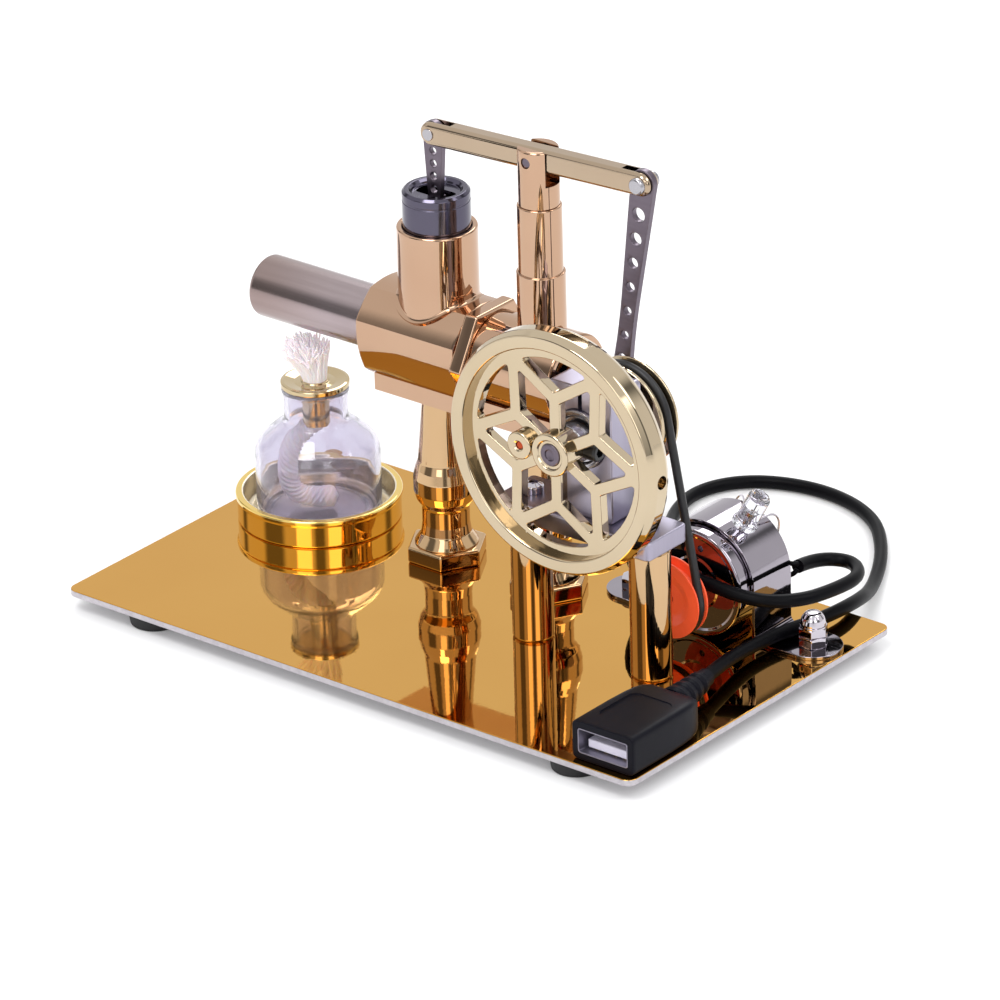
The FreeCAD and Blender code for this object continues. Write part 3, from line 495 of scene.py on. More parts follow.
# turns a mesh made along z so that it starts at a point and runs along a direction
def pointed(mesh, start, direction):
    facing = Vector(direction).to_track_quat("Z", "Y").to_matrix().to_4x4()
    mesh.transform(Matrix.Translation(Vector(start)) @ facing)
    return mesh


# smooth wire through control points: a NURBS spline of order 3 with a round section
def wireCurve(name, points, radius, scale=1.0, fine=14):
    curve = bpy.data.curves.new(name, "CURVE")
    curve.dimensions, curve.resolution_u = "3D", fine
    curve.bevel_depth, curve.bevel_resolution, curve.use_fill_caps = radius * scale, 5, True
    spline = curve.splines.new("NURBS")
    spline.points.add(len(points) - 1)
    for point, place in zip(spline.points, points):
        point.co = (*[c * scale for c in place], 1)
    spline.order_u, spline.use_endpoint_u = 3, True
    return curve


# the studio: pale all round, darker gaps by bearing in degrees from the front,
# and two bright soft boxes near the front
studio = {"pale": 0.97, "dark": 0.22, "box": 3.2,
          "gaps": [(-7, 7), (38, 64), (-84, -52), (106, 120), (-136, -124)],
          "boxes": [(-33, -12), (12, 33)], "boxHeight": (0.22, 0.72)}


def studioWorld():
    world = bpy.data.worlds.new("studio")
    scene.world = world
    g = Graph(world)
    direction = g.node("ShaderNodeTexCoord", out=0)
    x, y, z = (g.node("ShaderNodeSeparateXYZ", {}, {0: direction}, out=i) for i in range(3))
    toward = x * math.sin(turn) - y * math.cos(turn)
    side = x * math.cos(turn) + y * math.sin(turn)
    bearing = side.math("ARCTAN2", toward) * (180 / math.pi)
    gaps = sum((g.band(bearing, low, high, 5.0) for low, high in studio["gaps"][1:]),
               g.band(bearing, *studio["gaps"][0], 3.0))
    boxes = sum((g.band(bearing, low, high, 1.5) for low, high in studio["boxes"][1:]),
                g.band(bearing, *studio["boxes"][0], 1.5))
    gaps = gaps * g.band(z, -0.05, 0.62, 0.04)
    boxes = boxes * g.band(z, *studio["boxHeight"], 0.03)
    pale = studio["pale"]
    glow = gaps * (studio["dark"] - pale) + boxes * (studio["box"] - pale) + pale
    seen = g.node("ShaderNodeLightPath", out=0)  # 1 where the camera looks at the background itself
    glow = glow * (1 - seen) + seen * 1.0
    shade = g.node("ShaderNodeBackground", {}, {0: (1, 1, 1, 1), 1: glow})
    g.node("ShaderNodeOutputWorld", {}, {0: shade})


# a round area lamp aimed at the middle: bearing and height in degrees, distance and size in metres
def softLamp(name, bearing, height, distance, size, power):
    data = bpy.data.lights.new(name, "AREA")
    data.shape, data.size, data.energy = "DISK", size, power
    lamp = bpy.data.objects.new(name, data)
    scene.collection.objects.link(lamp)
    angle, rise = math.radians(bearing), math.radians(height)
    flat = Vector((math.sin(turn), -math.cos(turn), 0)) * math.cos(angle) + level * math.sin(angle)
    away = flat * math.cos(rise) + Vector((0, 0, 1)) * math.sin(rise)
    lamp.matrix_world = Matrix.Translation(away * distance + Vector((0, 0, 0.05))) @ \
        away.to_track_quat("Z", "Y").to_matrix().to_4x4()


studioWorld()
softLamp("key", -40, 62, 1.1, 0.5, 5)
softLamp("fill", 70, 48, 1.2, 0.6, 3)
softLamp("back", 170, 40, 1.2, 0.5, 3)
floorMesh = bpy.data.meshes.new("floor")
floorHalf = 4
floorMesh.from_pydata([(-floorHalf, -floorHalf, 0), (floorHalf, -floorHalf, 0), (floorHalf, floorHalf, 0),
                       (-floorHalf, floorHalf, 0)], [], [(0, 1, 2, 3)])
floorMesh.materials.append(finish["floor"])
floor = bpy.data.objects.new("floor", floorMesh)
scene.collection.objects.link(floor)
print("studio made")

# the power lead: its route in mm, as in the part's own source
lead = {"radius": 1.5, "length": 0.31, "route": [
    (59.6, 35.7, 17.6), (58.6, 43.6, 16.2), (65.0, 48.2, 15.6), (71.5, 42.0, 16.2),
    (72.2, 32.0, 17.2), (70.0, 22.5, 17.6), (63.0, 15.6, 18.2), (50.0, 13.9, 20.2),
    (37.5, 13.6, 20.4), (27.0, 17.5, 18.0), (22.5, 29.0, 13.0), (19.0, 41.5, 9.0),
    (11.0, 54.0, 4.2), (1.5, 66.0, 1.6), (-2.5, 80.0, 1.6), (4.5, 92.0, 1.6),
    (20.5, 97.0, 1.6), (37.5, 92.5, 1.6), (50.0, 79.0, 1.6), (59.5, 62.5, 1.9),
    (66.8, 47.0, 7.0), (66.6, 35.0, 7.6), (63.4, 25.0, 7.4), (62.4, 14.5, 7.6),
    (63.6, 4.5, 8.6), (65.5, -4.0, 9.1)]}
cable = bpy.data.objects.new("power_lead", wireCurve("power_lead", lead["route"], lead["radius"], mm, 24))
cable.data.bevel_resolution = 6
cable.data.materials.append(finish["sheath"])
scene.collection.objects.link(cable)
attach(cable, bodyOf["usb_cable"])
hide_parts("usb_cable")

# the plug on its end: body with a waist and a plain recessed panel, shell, tongue, contacts, ribbed sleeve
plugLow, plugHigh, plugMiddle = cornersOf("usb_socket_body")
shellLow, shellHigh, _ = cornersOf("usb_socket_shell")
plug = {"panel": (11.0, 13.2), "panelFrom": 4.6, "panelDepth": 0.3, "wall": 0.3}


# a box whose section in x and z narrows along y: superellipse |x/a|^n + |z/b|^n = 1 at every station
def plugBody():
    stations = np.array([0, 0.12, 0.4, 1.0, 6, 12, 17, 20, 22, 23.2, 23.8, 24.0])
    narrow = np.array([0.955, 0.985, 0.997, 1, 1, 1, 0.985, 0.955, 0.90, 0.84, 0.79, 0.74])
    half = (plugHigh - plugLow) / 2
    angles = np.linspace(0, 2 * math.pi, 96, endpoint=False)
    power = 2 / 11
    x = np.sign(np.cos(angles)) * np.abs(np.cos(angles)) ** power * half[0]
    z = np.sign(np.sin(angles)) * np.abs(np.sin(angles)) ** power * half[2]
    points = np.stack([plugMiddle[0] + x * narrow[:, None], plugLow[1] + stations[:, None] + 0 * x,
                       plugMiddle[2] + z * narrow[:, None]], -1)
    body = gridMesh(points)
    opening = blockMesh((shellLow[0], plugLow[1] - 1, shellLow[2]), shellHigh, 0.1, 0.05)
    halfWide, panelStart = plug["panel"][0] / 2, plugLow[1] + plug["panelFrom"]
    panelLow = (plugMiddle[0] - halfWide, panelStart, plugHigh[2] - plug["panelDepth"])
    panelHigh = (plugMiddle[0] + halfWide, panelStart + plug["panel"][1], plugHigh[2] + 1)
    return carved(body, opening, blockMesh(panelLow, panelHigh, 2.2, 0.12))


settle("plug_body", plugBody(), finish["plug"], "usb_socket_body", sharp=40)
wall = plug["wall"]
# sheet frame round the opening with its back closed
frameOut = rectangle((shellLow[2], shellLow[0]), (shellHigh[2], shellHigh[0]), 0.7)
frameIn = rectangle((shellLow[2] + wall, shellLow[0] + wall), (shellHigh[2] - wall, shellHigh[0] - wall), 0.45)
shellLength = shellHigh[1] - shellLow[1]
settle("plug_shell", merged(
    plateMesh([frameOut, frameIn], shellLength, 0.08, "y", (0, shellLow[1] + 0.02, 0)),
    plateMesh([frameIn], 0.4, 0.05, "y", (0, shellHigh[1] - 0.42, 0))), finish["satin"], "usb_socket_shell")
tongueLow, tongueHigh, tongueMiddle = cornersOf("usb_socket_tongue")
settle("plug_tongue", blockMesh(tongueLow, tongueHigh, 0.4, 0.25), finish["tongue"], "usb_socket_tongue",
       slotName="white_plastic")
contacts = [blockMesh((tongueMiddle[0] + x - 0.5, tongueLow[1] + 0.3, tongueLow[2] - 0.3),
                      (tongueMiddle[0] + x + 0.5, tongueHigh[1] - 1, tongueLow[2] + 0.05), 0.3, 0.08)
            for x in (-3.75, -1.25, 1.25, 3.75)]
settle("plug_contacts", merged(*contacts), finish["paleBrass"], "usb_socket_tongue", stands=False,
       slotName="pale_brass")


# ribs along the sleeve: radius = taper + a rounded square wave of the distance from the plug
def sleeveMesh():
    start = np.array((plugMiddle[0] - 0.5, plugHigh[1] - 0.4, plugMiddle[2]))
    run = np.array(lead["route"][-1]) - start
    length = np.linalg.norm(run)
    along = np.linspace(0, length, 120)
    share = along / length
    wave = np.clip(2.4 * np.sin(2 * math.pi * (along - 1.6) / 3.2) + 0.3, -1, 1) * (share < 0.84)
    radius = 3.7 - 1.75 * share ** 0.8 + 0.27 * wave
    return pointed(latheMesh(np.stack([radius, along], 1), (0, 0, 0), sides=48), start, run)


settle("plug_sleeve", sleeveMesh(), finish["plug"], "usb_strain_relief", sharp=50)
print("power lead and plug made")

# base plate with softened edges, and its feet
plateLow, plateHigh, _ = cornersOf("base_plate")
base = {"corner": 2.5, "edge": 0.22, "hole": 1.6}
holeSpots = [cornersOf(node)[2][:2] for node in
             ("column_left", "column_right", "bracket_post_left", "bracket_post_right")]
settle("deck", plateMesh([rectangle(plateLow[:2], plateHigh[:2], base["corner"], 10)]
                         + [circle(base["hole"], spot, 24) for spot in holeSpots],
                         plateHigh[2] - plateLow[2], base["edge"], at=(0, 0, plateLow[2])),
       finish["plate"], "base_plate", sharp=45)
footHigh = cornersOf("rubber_feet")[1]
foot = {"radius": 6.0, "height": footHigh[2]}
feetMeshes = []
for sx in (-1, 1):
    for sy in (-1, 1):
        profile = rounded([(0, 0.5), (2.6, 0.5), (3.0, 0), (foot["radius"] - 0.5, 0),
                           (foot["radius"], foot["height"]), (0, foot["height"])], 0.5)
        spot = (sx * (footHigh[0] - foot["radius"]), sy * (footHigh[1] - foot["radius"]), 0)
        feetMeshes.append(latheMesh(profile, spot, sides=64))
settle("feet", merged(*feetMeshes), finish["rubber"], "rubber_feet")
print("base made")

# spirit lamp: tray, bottle, cap and a twisted cotton wick with a frayed head
trayMiddle = cornersOf("lamp_tray")[2]
lampSpot = (trayMiddle[0], trayMiddle[1], deckZ)
tray = {"radius": 17.5, "side": 18.05, "height": 6.5, "rim": 18.4, "wall": 0.9, "floor": 0.8}
inner = tray["radius"] - tray["wall"]
settle("tray", latheMesh(rounded([
    (0, 0), (tray["side"], 0), (tray["side"], 3.0), (tray["side"], 5.0), (tray["rim"], 5.35),
    (tray["rim"], tray["height"]), (inner, tray["height"]), (inner, tray["floor"]), (0, tray["floor"])],
    [0, 0.5, 0.5, 0.4, 0.45, 0.45, 0.35, 1.6, 0], 7), lampSpot, sides=144),
    trayFinish(lampSpot[0], lampSpot[1], inner + 0.4), "lamp_tray", sharp=40)
bottle = {"radius": 13.8, "neck": 7.1, "wall": 1.1, "top": 30.4}
outside = rounded([
    (0, 0.5), (bottle["radius"] - 3.6, 0.5), (bottle["radius"] - 3, 0), (bottle["radius"], 0),
    (bottle["radius"], 16.8), (bottle["neck"] + 2.2, 20.8), (bottle["neck"], 22.4), (bottle["neck"], 29.0),
    (bottle["neck"] + 0.4, 29.3), (bottle["neck"] + 0.4, bottle["top"]), (bottle["neck"] - 0.6, bottle["top"])],
    [0, 0.2, 0.3, 1.8, 5.5, 3.0, 1.6, 0.3, 0.3, 0.3, 0], 12)


# inner wall: every point of the outer profile moved in along its normal, kept off the axis and above the base
def insideProfile(path, wall):
    slope = np.gradient(path, axis=0)
    slope /= np.linalg.norm(slope, axis=1, keepdims=True)
    moved = path + wall * np.stack([-slope[:, 1], slope[:, 0]], 1)
    keep = (path[:, 1] > 2.2) & (path[:, 1] < bottle["top"] - 0.4) & (moved[:, 1] > 3.0)
    moved = moved[keep]
    moved[:, 0] = np.minimum(moved[:, 0], bottle["radius"] - wall)
    low = rounded([(0, 1.6), (bottle["radius"] - wall, 1.6), moved[0]], [0, 1.3, 0], 9)
    return np.concatenate([low[:-1], moved])[::-1]


settle("bottle", latheMesh(np.concatenate([outside, insideProfile(outside, bottle["wall"])]),
                           (lampSpot[0], lampSpot[1], deckZ + tray["floor"] + 0.03), sides=128),
       finish["glass"], "lamp_bottle", sharp=60)
capZ = cornersOf("lamp_cap")[0][2] + 9
cap = {"radius": 7.6, "tube": 3.0, "bore": 2.4}
settle("cap", latheMesh(rounded([
    (cap["bore"], -9), (cap["tube"], -9), (cap["tube"], -0.6), (bottle["neck"] - 1.3, -0.6),
    (bottle["neck"] - 1.3, 0), (cap["radius"], 0), (cap["radius"], 1.15), (cap["radius"] - 0.7, 1.3),
    (4.6, 0.85), (cap["tube"] + 0.2, 1.0), (cap["tube"], 1.3), (cap["bore"], 1.3)], 0.25, 5, True),
    (lampSpot[0], lampSpot[1], capZ), sides=96, closed=True), finish["paleBrass"], "lamp_cap", sharp=40)
wick = {"radius": 2.2, "plies": 7, "twist": 0.75, "strands": 210, "seed": 7, "turn": 2.39996, "highest": 48.6,
        "path": [(0, 22.5), (-2.5, 20.5), (-5.6, 17), (-6.8, 12), (-6.5, 7.5), (-4, 4.8), (0.5, 4.4),
                 (4.2, 4.6)]}


# a rope: section radius = R (1 + 0.07 cos(plies (angle + twist * distance along)) + lumps),
# carried along the path
def wickMesh():
    flat = np.array([math.cos(turn), math.sin(turn), 0])
    front = np.array([math.sin(turn), -math.cos(turn), 0])
    base = np.array(lampSpot)
    route = [base + flat * s + np.array([0, 0, z]) for s, z in [(0, 30.6)] + wick["path"]]
    path = flowing(route, 5)
    step = np.linalg.norm(np.diff(path, axis=0), axis=1)
    along = np.concatenate([[0], np.cumsum(step)])
    tangent = np.gradient(path, axis=0)
    tangent /= np.linalg.norm(tangent, axis=1, keepdims=True)
    first = np.cross(tangent, front)
    first /= np.linalg.norm(first, axis=1, keepdims=True)
    second = np.cross(tangent, first)
    angles = np.linspace(0, 2 * math.pi, 60, endpoint=False)
    turns = angles[None] + wick["twist"] * along[:, None]
    draw = np.random.default_rng(wick["seed"])
    lumps = np.interp(along, np.linspace(0, along[-1], 26), draw.normal(0, 0.05, 26))
    radius = wick["radius"] * (1 + 0.07 * np.cos(wick["plies"] * turns) + lumps[:, None])
    end = np.minimum(1, (along[-1] - along) / 1.2) ** 0.5
    radius = radius * np.maximum(end, 0.05)[:, None] * np.where(along < 9.5, 1.02, 1)[:, None]
    ring = first[:, None] * np.cos(angles)[:, None] + second[:, None] * np.sin(angles)[:, None]
    rope = gridMesh(path[:, None] + ring * radius[..., None])
    # the frayed head: each strand leaves the tube, flares like a brush and ends at its own height
    count = wick["strands"]
    heading = np.arange(count) * wick["turn"] + draw.normal(0, 0.12, count)
    spread = np.sqrt((np.arange(count) + 0.5) / count)
    tall = draw.uniform(9.4, 11.8, count) - 1.6 * spread ** 2
    share = np.linspace(0, 1, 12)[None]
    flare = 3.4 * spread[:, None] + draw.normal(0, 0.35, count)[:, None]
    swell = 2.3 * spread[:, None] + flare * share ** 1.7
    curl = heading[:, None] + draw.normal(0, 0.35, count)[:, None] * share ** 2
    lean = -1.8 * share ** 1.5 + 0.18 * np.sin(7 * share + draw.uniform(0, 6, count)[:, None]) * share
    x = base[0] + swell * np.cos(curl) + flat[0] * lean
    y = base[1] + swell * np.sin(curl) + flat[1] * lean
    z = deckZ + 31.6 + tall[:, None] * share - 0.10 * swell * share
    thick = np.interp(share[0], [0, 0.5, 1], [0.4, 0.34, 0.2])
    strands = tubeMesh(np.stack([x, y, np.minimum(z, wick["highest"])], -1),
                       np.broadcast_to(thick, (count, 12)), 6)
    core = latheMesh(rounded([(0, 26), (2.2, 26), (2.2, 32.2), (2.0, 35), (0, 37)], 0.6, 6), base, sides=40)
    return merged(rope, core, strands)


settle("wick", wickMesh(), finish["cotton"], "lamp_wick", sharp=80)
print("spirit lamp made")

# hot tube, block, flange, cold cylinder, gland
tubeLow, tubeHigh, _ = cornersOf("hot_cylinder")
blockLow, blockHigh, _ = cornersOf("cylinder_block")
flangeLow, flangeHigh, _ = cornersOf("block_flange")
coldLow, coldHigh, _ = cornersOf("cold_cylinder")
power = {"radius": 8.77, "bore": 7.42, "flare": 0.9, "x": cornersOf("power_cylinder")[2][0],
         "top": cornersOf("power_cylinder")[1][2]}
barrel = {"radius": 11.5, "edge": 0.5, "turns": [62, 118, 159, 222, 239, 301, 318, 381], "bore": 6.12,
          "tube": 6.92}
line = (0, engineY, axisZ)


# circle of the barrel's radius whose eight arcs are flattened half way towards their chords
def barrelOutline(steps=9):
    ends = np.radians(np.array(barrel["turns"] + [barrel["turns"][0] + 360], float))
    made = []
    for start, end in zip(ends[:-1], ends[1:]):
        half, middle = (end - start) / 2, (end + start) / 2
        angles = np.linspace(start, end, steps, endpoint=False)
        chord = math.cos(half) / np.cos(angles - middle)
        radius = barrel["radius"] * (chord + 1) / 2
        made.append(np.stack([np.cos(angles), np.sin(angles)], 1) * radius[:, None])
    return np.concatenate(made) + (engineY, axisZ)


outline = barrelOutline()
upper = outline[outline[:, 1] > axisZ + 3]
upper = upper[np.argsort(upper[:, 0])]


def barrelTop(y):  # height of the barrel's skin above a distance across it
    return np.interp(y, upper[:, 0], upper[:, 1])


tubeEnd = tubeLow[0] + barrel["tube"] - barrel["bore"]
settle("hot_tube", latheMesh(rounded([
    (0, tubeLow[0]), (barrel["tube"], tubeLow[0]), (barrel["tube"], tubeHigh[0]), (barrel["bore"], tubeHigh[0]),
    (barrel["bore"], tubeEnd), (0, tubeEnd)], [0, 0.9, 0.1, 0.1, 0.6, 0], 8), line, "x", 128),
    finish["steelTube"], "hot_cylinder", sharp=40)
blockMade = plateMesh([outline, circle(barrel["bore"], (engineY, axisZ), 64)], blockHigh[0] - blockLow[0],
                      barrel["edge"], "x", (blockLow[0], 0, 0), steps=3)
seat = barrelTool(line, barrel["tube"], blockLow[0] - 1, blockLow[0] + 6, "x", 96)
boreTool = barrelTool((power["x"], engineY, 0), power["bore"], axisZ + 6.4, axisZ + 30, "z", 96)
settle("engine_block", carved(blockMade, seat, boreTool), finish["roseGold"], "cylinder_block", sharp=22)
hexTurn = np.arange(6) * math.pi / 3
hexagon = np.stack([np.cos(hexTurn), np.sin(hexTurn)], 1)
settle("block_collar", plateMesh([rounded(hexagon * 12.6 + (engineY, axisZ), 0.7, 5, True),
                                  circle(barrel["bore"], (engineY, axisZ), 64)], flangeHigh[0] - flangeLow[0],
                                 0.55, "x", (flangeLow[0], 0, 0), steps=3), finish["roseGold"], "block_flange",
       sharp=24)
settle("cold_tube", latheMesh(rounded([
    (2.5, coldLow[0]), (10, coldLow[0]), (10, coldHigh[0]), (8.2, coldHigh[0]), (8.2, 1.0), (2.5, 1.0)],
    [0.1, 0.4, 0.6, 0.5, 0.3, 0.1], 6, True), line, "x", 128, True), finish["roseGold"], "cold_cylinder",
    sharp=40)
settle("gland", latheMesh(rounded([
    (1.05, coldLow[0]), (2.5, coldLow[0]), (2.5, 1.0), (4.5, 1.0), (4.5, 2.2), (3.2, 2.2), (2.9, 1.9),
    (1.05, 1.9)], 0.15, 4, True), line, "x", 64, True), finish["paleBrass"], "rod_gland", sharp=40)


# wall of the power cylinder, whose foot flares on the barrel by an arc a from 0 to 90 degrees:
# r = R + e (1 - sin a), z = skin(y) + e (1 - cos a)
def powerMesh():
    around = np.linspace(0, 2 * math.pi, 144, endpoint=False)
    y = engineY + power["radius"] * np.sin(around)
    skin = barrelTop(y)
    rows = []
    for share in np.linspace(0, 1, 9):
        a = share * math.pi / 2
        rows.append((power["radius"] + power["flare"] * (1 - math.sin(a)),
                     skin - 0.1 + power["flare"] * (1 - math.cos(a))))
    top = power["top"]
    rows += [(power["radius"], skin + (top - skin) * share) for share in (0.2, 0.5, 0.9)]
    rows += [(r, top + dz + 0 * skin) for r, dz in rounded(
        [(power["radius"], -1.2), (power["radius"], 0), (power["bore"], 0), (power["bore"], -1.2)], 0.45, 6)]
    rows += [(power["bore"], top - (top - skin) * share) for share in (0.3, 0.6, 0.9)]
    rows += [(power["bore"], skin - 0.3)]
    points = [np.stack([power["x"] + r * np.cos(around), engineY + r * np.sin(around), z + 0 * around], -1)
              for r, z in rows]
    return gridMesh(np.array(points), closeRows=True)


settle("power_barrel", powerMesh(), finish["roseGold"], "power_cylinder", sharp=50)
pistonLow, pistonHigh, pistonMiddle = cornersOf("power_piston")
piston = {"radius": 7.37, "length": 20, "lip": 5.4, "slotHalf": (4.4, 2.1)}
pistonMade = latheMesh(rounded([
    (0, 0), (piston["radius"], 0), (piston["radius"], 17.4), (piston["radius"] - 0.12, 17.5),
    (piston["radius"] - 0.12, 17.8), (piston["radius"], 17.9), (piston["radius"], 19.4),
    (piston["radius"] - 0.6, piston["length"]), (5.9, piston["length"]), (piston["lip"], 19.4), (5.2, 18.9),
    (0, 18.9)], [0, .3, .05, .05, .05, .05, .25, .25, .25, .2, .15, 0], 5),
    (pistonMiddle[0], engineY, pistonLow[2]), sides=128)
slotX, slotY = piston["slotHalf"]
pistonSlot = blockMesh((pistonMiddle[0] - slotX, engineY - slotY, pistonLow[2] + 9),
                       (pistonMiddle[0] + slotX, engineY + slotY, pistonHigh[2] + 2), 1.2, 0.02)
settle("piston_body", carved(pistonMade, pistonSlot), finish["graphite"], "power_piston", sharp=34)
wristZ = cornersOf("piston_pin")[2][2]
settle("piston_wrist", rodAlong((pistonMiddle[0], 0, wristZ), 0.88, 9.8, 22.8, 0.15, 3, 32), finish["steel"],
       "piston_pin")
print("cylinders and piston made")

# columns: hexagon foot, neck, bulb, tapering shaft; post in two steps under a forked head
column = {"hex": 9.1, "hexHeight": 3.7, "profile": [
    (0, 3.6), (7.2, 3.6), (6.6, 4.6), (5.5, 6.2), (5.2, 8.5), (5.2, 12.6), (6.3, 14.2), (6.9, 16.2), (6.9, 19.4),
    (6.4, 21.6), (5.75, 23.4), (4.4, 38.5), (0, 38.5)],
    "bends": [0, 0.3, 0.8, 1.2, 2, 2.2, 1.6, 1.6, 1.6, 2, 2.4, 0.1, 0]}
for node in ("column_left", "column_right"):
    x = cornersOf(node)[2][0]
    hexFoot = plateMesh([rounded(hexagon * column["hex"] + (x, engineY), 0.5, 4, True)], column["hexHeight"],
                        0.6, at=(0, 0, deckZ), steps=3)
    shaft = latheMesh(rounded(column["profile"], column["bends"], 7), (x, engineY, deckZ), sides=96)
    settle(node.replace("column", "support"), merged(hexFoot, shaft), finish["warmGold"], node, sharp=24)
postLow, postHigh, postMiddle = cornersOf("beam_post")
forkLow, forkHigh, forkMiddle = cornersOf("beam_fork")
post = {"lower": 5.28, "upper": 4.83, "step": deckZ + 74.8}
settle("post", latheMesh(rounded([
    (0, postLow[2]), (post["lower"], postLow[2]), (post["lower"], post["step"]),
    (post["upper"], post["step"]), (post["upper"], postHigh[2]), (0, postHigh[2])],
    [0, .1, .35, .1, .3, 0], 5), (postMiddle[0], engineY, 0), sides=96), finish["roseGold"],
    "beam_post", sharp=40)
forkMade = latheMesh(rounded([(0, forkLow[2]), (4.46, forkLow[2]), (4.46, forkHigh[2]), (0, forkHigh[2])],
                             [0, 0.2, 0.5, 0], 6), (forkMiddle[0], engineY, 0), sides=96)
pivotZ = cornersOf("pivot_pin")[2][2]
pivotSpot = (forkMiddle[0], 0, pivotZ)
forkSlot = blockMesh((forkMiddle[0] - 6, engineY - 2.4, pivotZ - 5.4),
                     (forkMiddle[0] + 6, engineY + 2.4, pivotZ + 8), 0.02, 0.01)
forkHole = barrelTool(pivotSpot, 1.2, engineY - 6, engineY + 6)
settle("post_fork", carved(forkMade, forkSlot, forkHole), finish["roseGold"], "beam_fork", sharp=40)
settle("pivot", rodAlong(pivotSpot, 1.19, engineY - 4.1, engineY + 4.1, 0.25), finish["darkSteel"], "pivot_pin")
print("columns and post made")


# bar from one pin to another: two arcs of its half widths joined by their tangents, as (along, across)
def barOutline(length, first, second, steps=14):
    lean = math.asin((first - second) / length)
    back = np.linspace(math.pi / 2 - lean, 3 * math.pi / 2 + lean, steps)
    forth = np.linspace(-math.pi / 2 + lean, math.pi / 2 - lean, steps)
    left = first * np.stack([np.cos(back), np.sin(back)], 1)
    right = second * np.stack([np.cos(forth), np.sin(forth)], 1) + (length, 0)
    return np.concatenate([left, right])


# flat bar in the x-z plane from a pin at (x, z), heading down by an angle, y from low by thick
def flatBar(pin, heading, length, halves, thick, low, holes, edge=0.15):
    flip = [np.array(shape)[:, ::-1] for shape in
            [barOutline(length, *halves)] + [circle(radius, (along, 0), 32) for along, radius in holes]]
    return plateMesh(flip, thick, edge, "y", (pin[0], low, pin[1]), heading)


postX = cornersOf("pivot_pin")[2][0]
beam = {"arm": 28.3, "half": 2.6, "thick": 4.2, "lean": 2.2, "edge": 1.0, "slot": 1.9, "slotLength": 5.2}
lean = math.radians(beam["lean"])
reachX, dropZ = beam["arm"] * math.cos(lean), beam["arm"] * math.sin(lean)
leftPin = (postX - reachX, pivotZ - dropZ)
rightPin = (postX + reachX, pivotZ + dropZ)
beamMade = flatBar(leftPin, -lean, 2 * beam["arm"], (beam["half"], beam["half"]), beam["thick"],
                   engineY - beam["thick"] / 2, [(beam["arm"], 1.25)], beam["edge"])
slots = []
for pin, out in ((leftPin, -1), (rightPin, 1)):
    far, near = pin[0] + out * 8, pin[0] - out * beam["slotLength"]
    slots.append(blockMesh((min(far, near), engineY - beam["slot"] / 2, pin[1] - 7),
                           (max(far, near), engineY + beam["slot"] / 2, pin[1] + 7), 0.02, 0.01))
beamHoles = [barrelTool((pin[0], 0, pin[1]), 0.9, engineY - 5, engineY + 5) for pin in (leftPin, rightPin)]
settle("beam_bar", carved(beamMade, *slots, *beamHoles), finish["beamGold"], "rocker_beam", sharp=30)


# pin with a round head at each end, through a hole along y
def pinMesh(spot, radius, low, high, head=None, rise=0.5):
    headed = head or radius
    profile = [(0, low - rise), (headed, low - rise), (headed, low), (radius, low), (radius, high),
               (headed, high), (headed, high + rise), (0, high + rise)]
    bends = [0, min(headed, rise) * 0.8, 0.05, 0.05, 0.05, 0.05, min(headed, rise) * 0.8, 0]
    return latheMesh(rounded(profile, bends, 6), (spot[0], 0, spot[1]), "y", 48)


settle("beam_pins", merged(
    pinMesh(leftPin, 0.86, engineY - 2.1, engineY + 2.1, 1.35, 0.3),
    pinMesh(rightPin, 0.86, engineY - 2.1, engineY + 2.1, 1.85, 1.1)), finish["steel"], "beam_end_pins")
drop = leftPin[1] - wristZ - 2.9
settle("short_link", flatBar(leftPin, math.pi / 2, drop, (2.7, 1.55), 1.4, engineY - 0.7,
                             [(0, 0.95)] + [(4.2 + 2.9 * i, 0.9) for i in range(4)], 0.12),
       finish["darkSteel"], "piston_link")
settle("short_link_fork", merged(*[blockMesh((leftPin[0] - 1.5, engineY + y - 0.5, wristZ - 1.9),
                                             (leftPin[0] + 1.5, engineY + y + 0.5, wristZ + 5.2), 0.4, 0.2)
                                   for y in (-1.3, 1.3)]), finish["darkSteel"], "piston_link", stands=False)
crankX = cornersOf("crankshaft")[2][0]
pinX = cornersOf("rod_end_screw")[2][0]
run = (pinX - rightPin[0], axisZ - rightPin[1])
rodLength = math.hypot(*run)
rod = {"halves": (3.1, 2.75), "waist": 1.85, "thick": 1.5, "gap": 5.75,
       "holes": (1.6, 1.45, 1.25, 1.1, 1.0, 0.95, 1.2)}


# its half width goes from the upper eye to a waist at three fifths of its length and out to the lower eye
def rodMesh():
    share = np.linspace(0.04, 0.96, 24)
    upperHalf, lowerHalf = rod["halves"]
    half = np.interp(share, [0, 0.62, 0.8, 1], [upperHalf, rod["waist"], rod["waist"] + 0.1, lowerHalf])
    half = np.convolve(np.pad(half, 2, "edge"), np.ones(5) / 5, "valid")
    side = np.stack([share * rodLength, half], 1)
    back = np.linspace(0.52 * math.pi, 1.48 * math.pi, 14)
    forth = np.linspace(-0.46 * math.pi, 0.46 * math.pi, 14)
    ends = [r * np.stack([np.cos(a), np.sin(a)], 1) for r, a in ((upperHalf, back), (lowerHalf, forth))]
    shape = np.concatenate([ends[0], side * (1, -1), ends[1] + (rodLength, 0), side[::-1]])
    holes = [(0, 0.95), (rodLength, 1.3)] + [(7.4 + rod["gap"] * i, r) for i, r in enumerate(rod["holes"])]
    shapes = [shape[:, ::-1]] + [circle(r, (along, 0), 32)[:, ::-1] for along, r in holes]
    return plateMesh(shapes, rod["thick"], 0.14, "y", (rightPin[0], engineY - rod["thick"] / 2, rightPin[1]),
                     -math.atan2(run[1], run[0]))


settle("connecting_bar", rodMesh(), finish["darkSteel"], "connecting_rod")


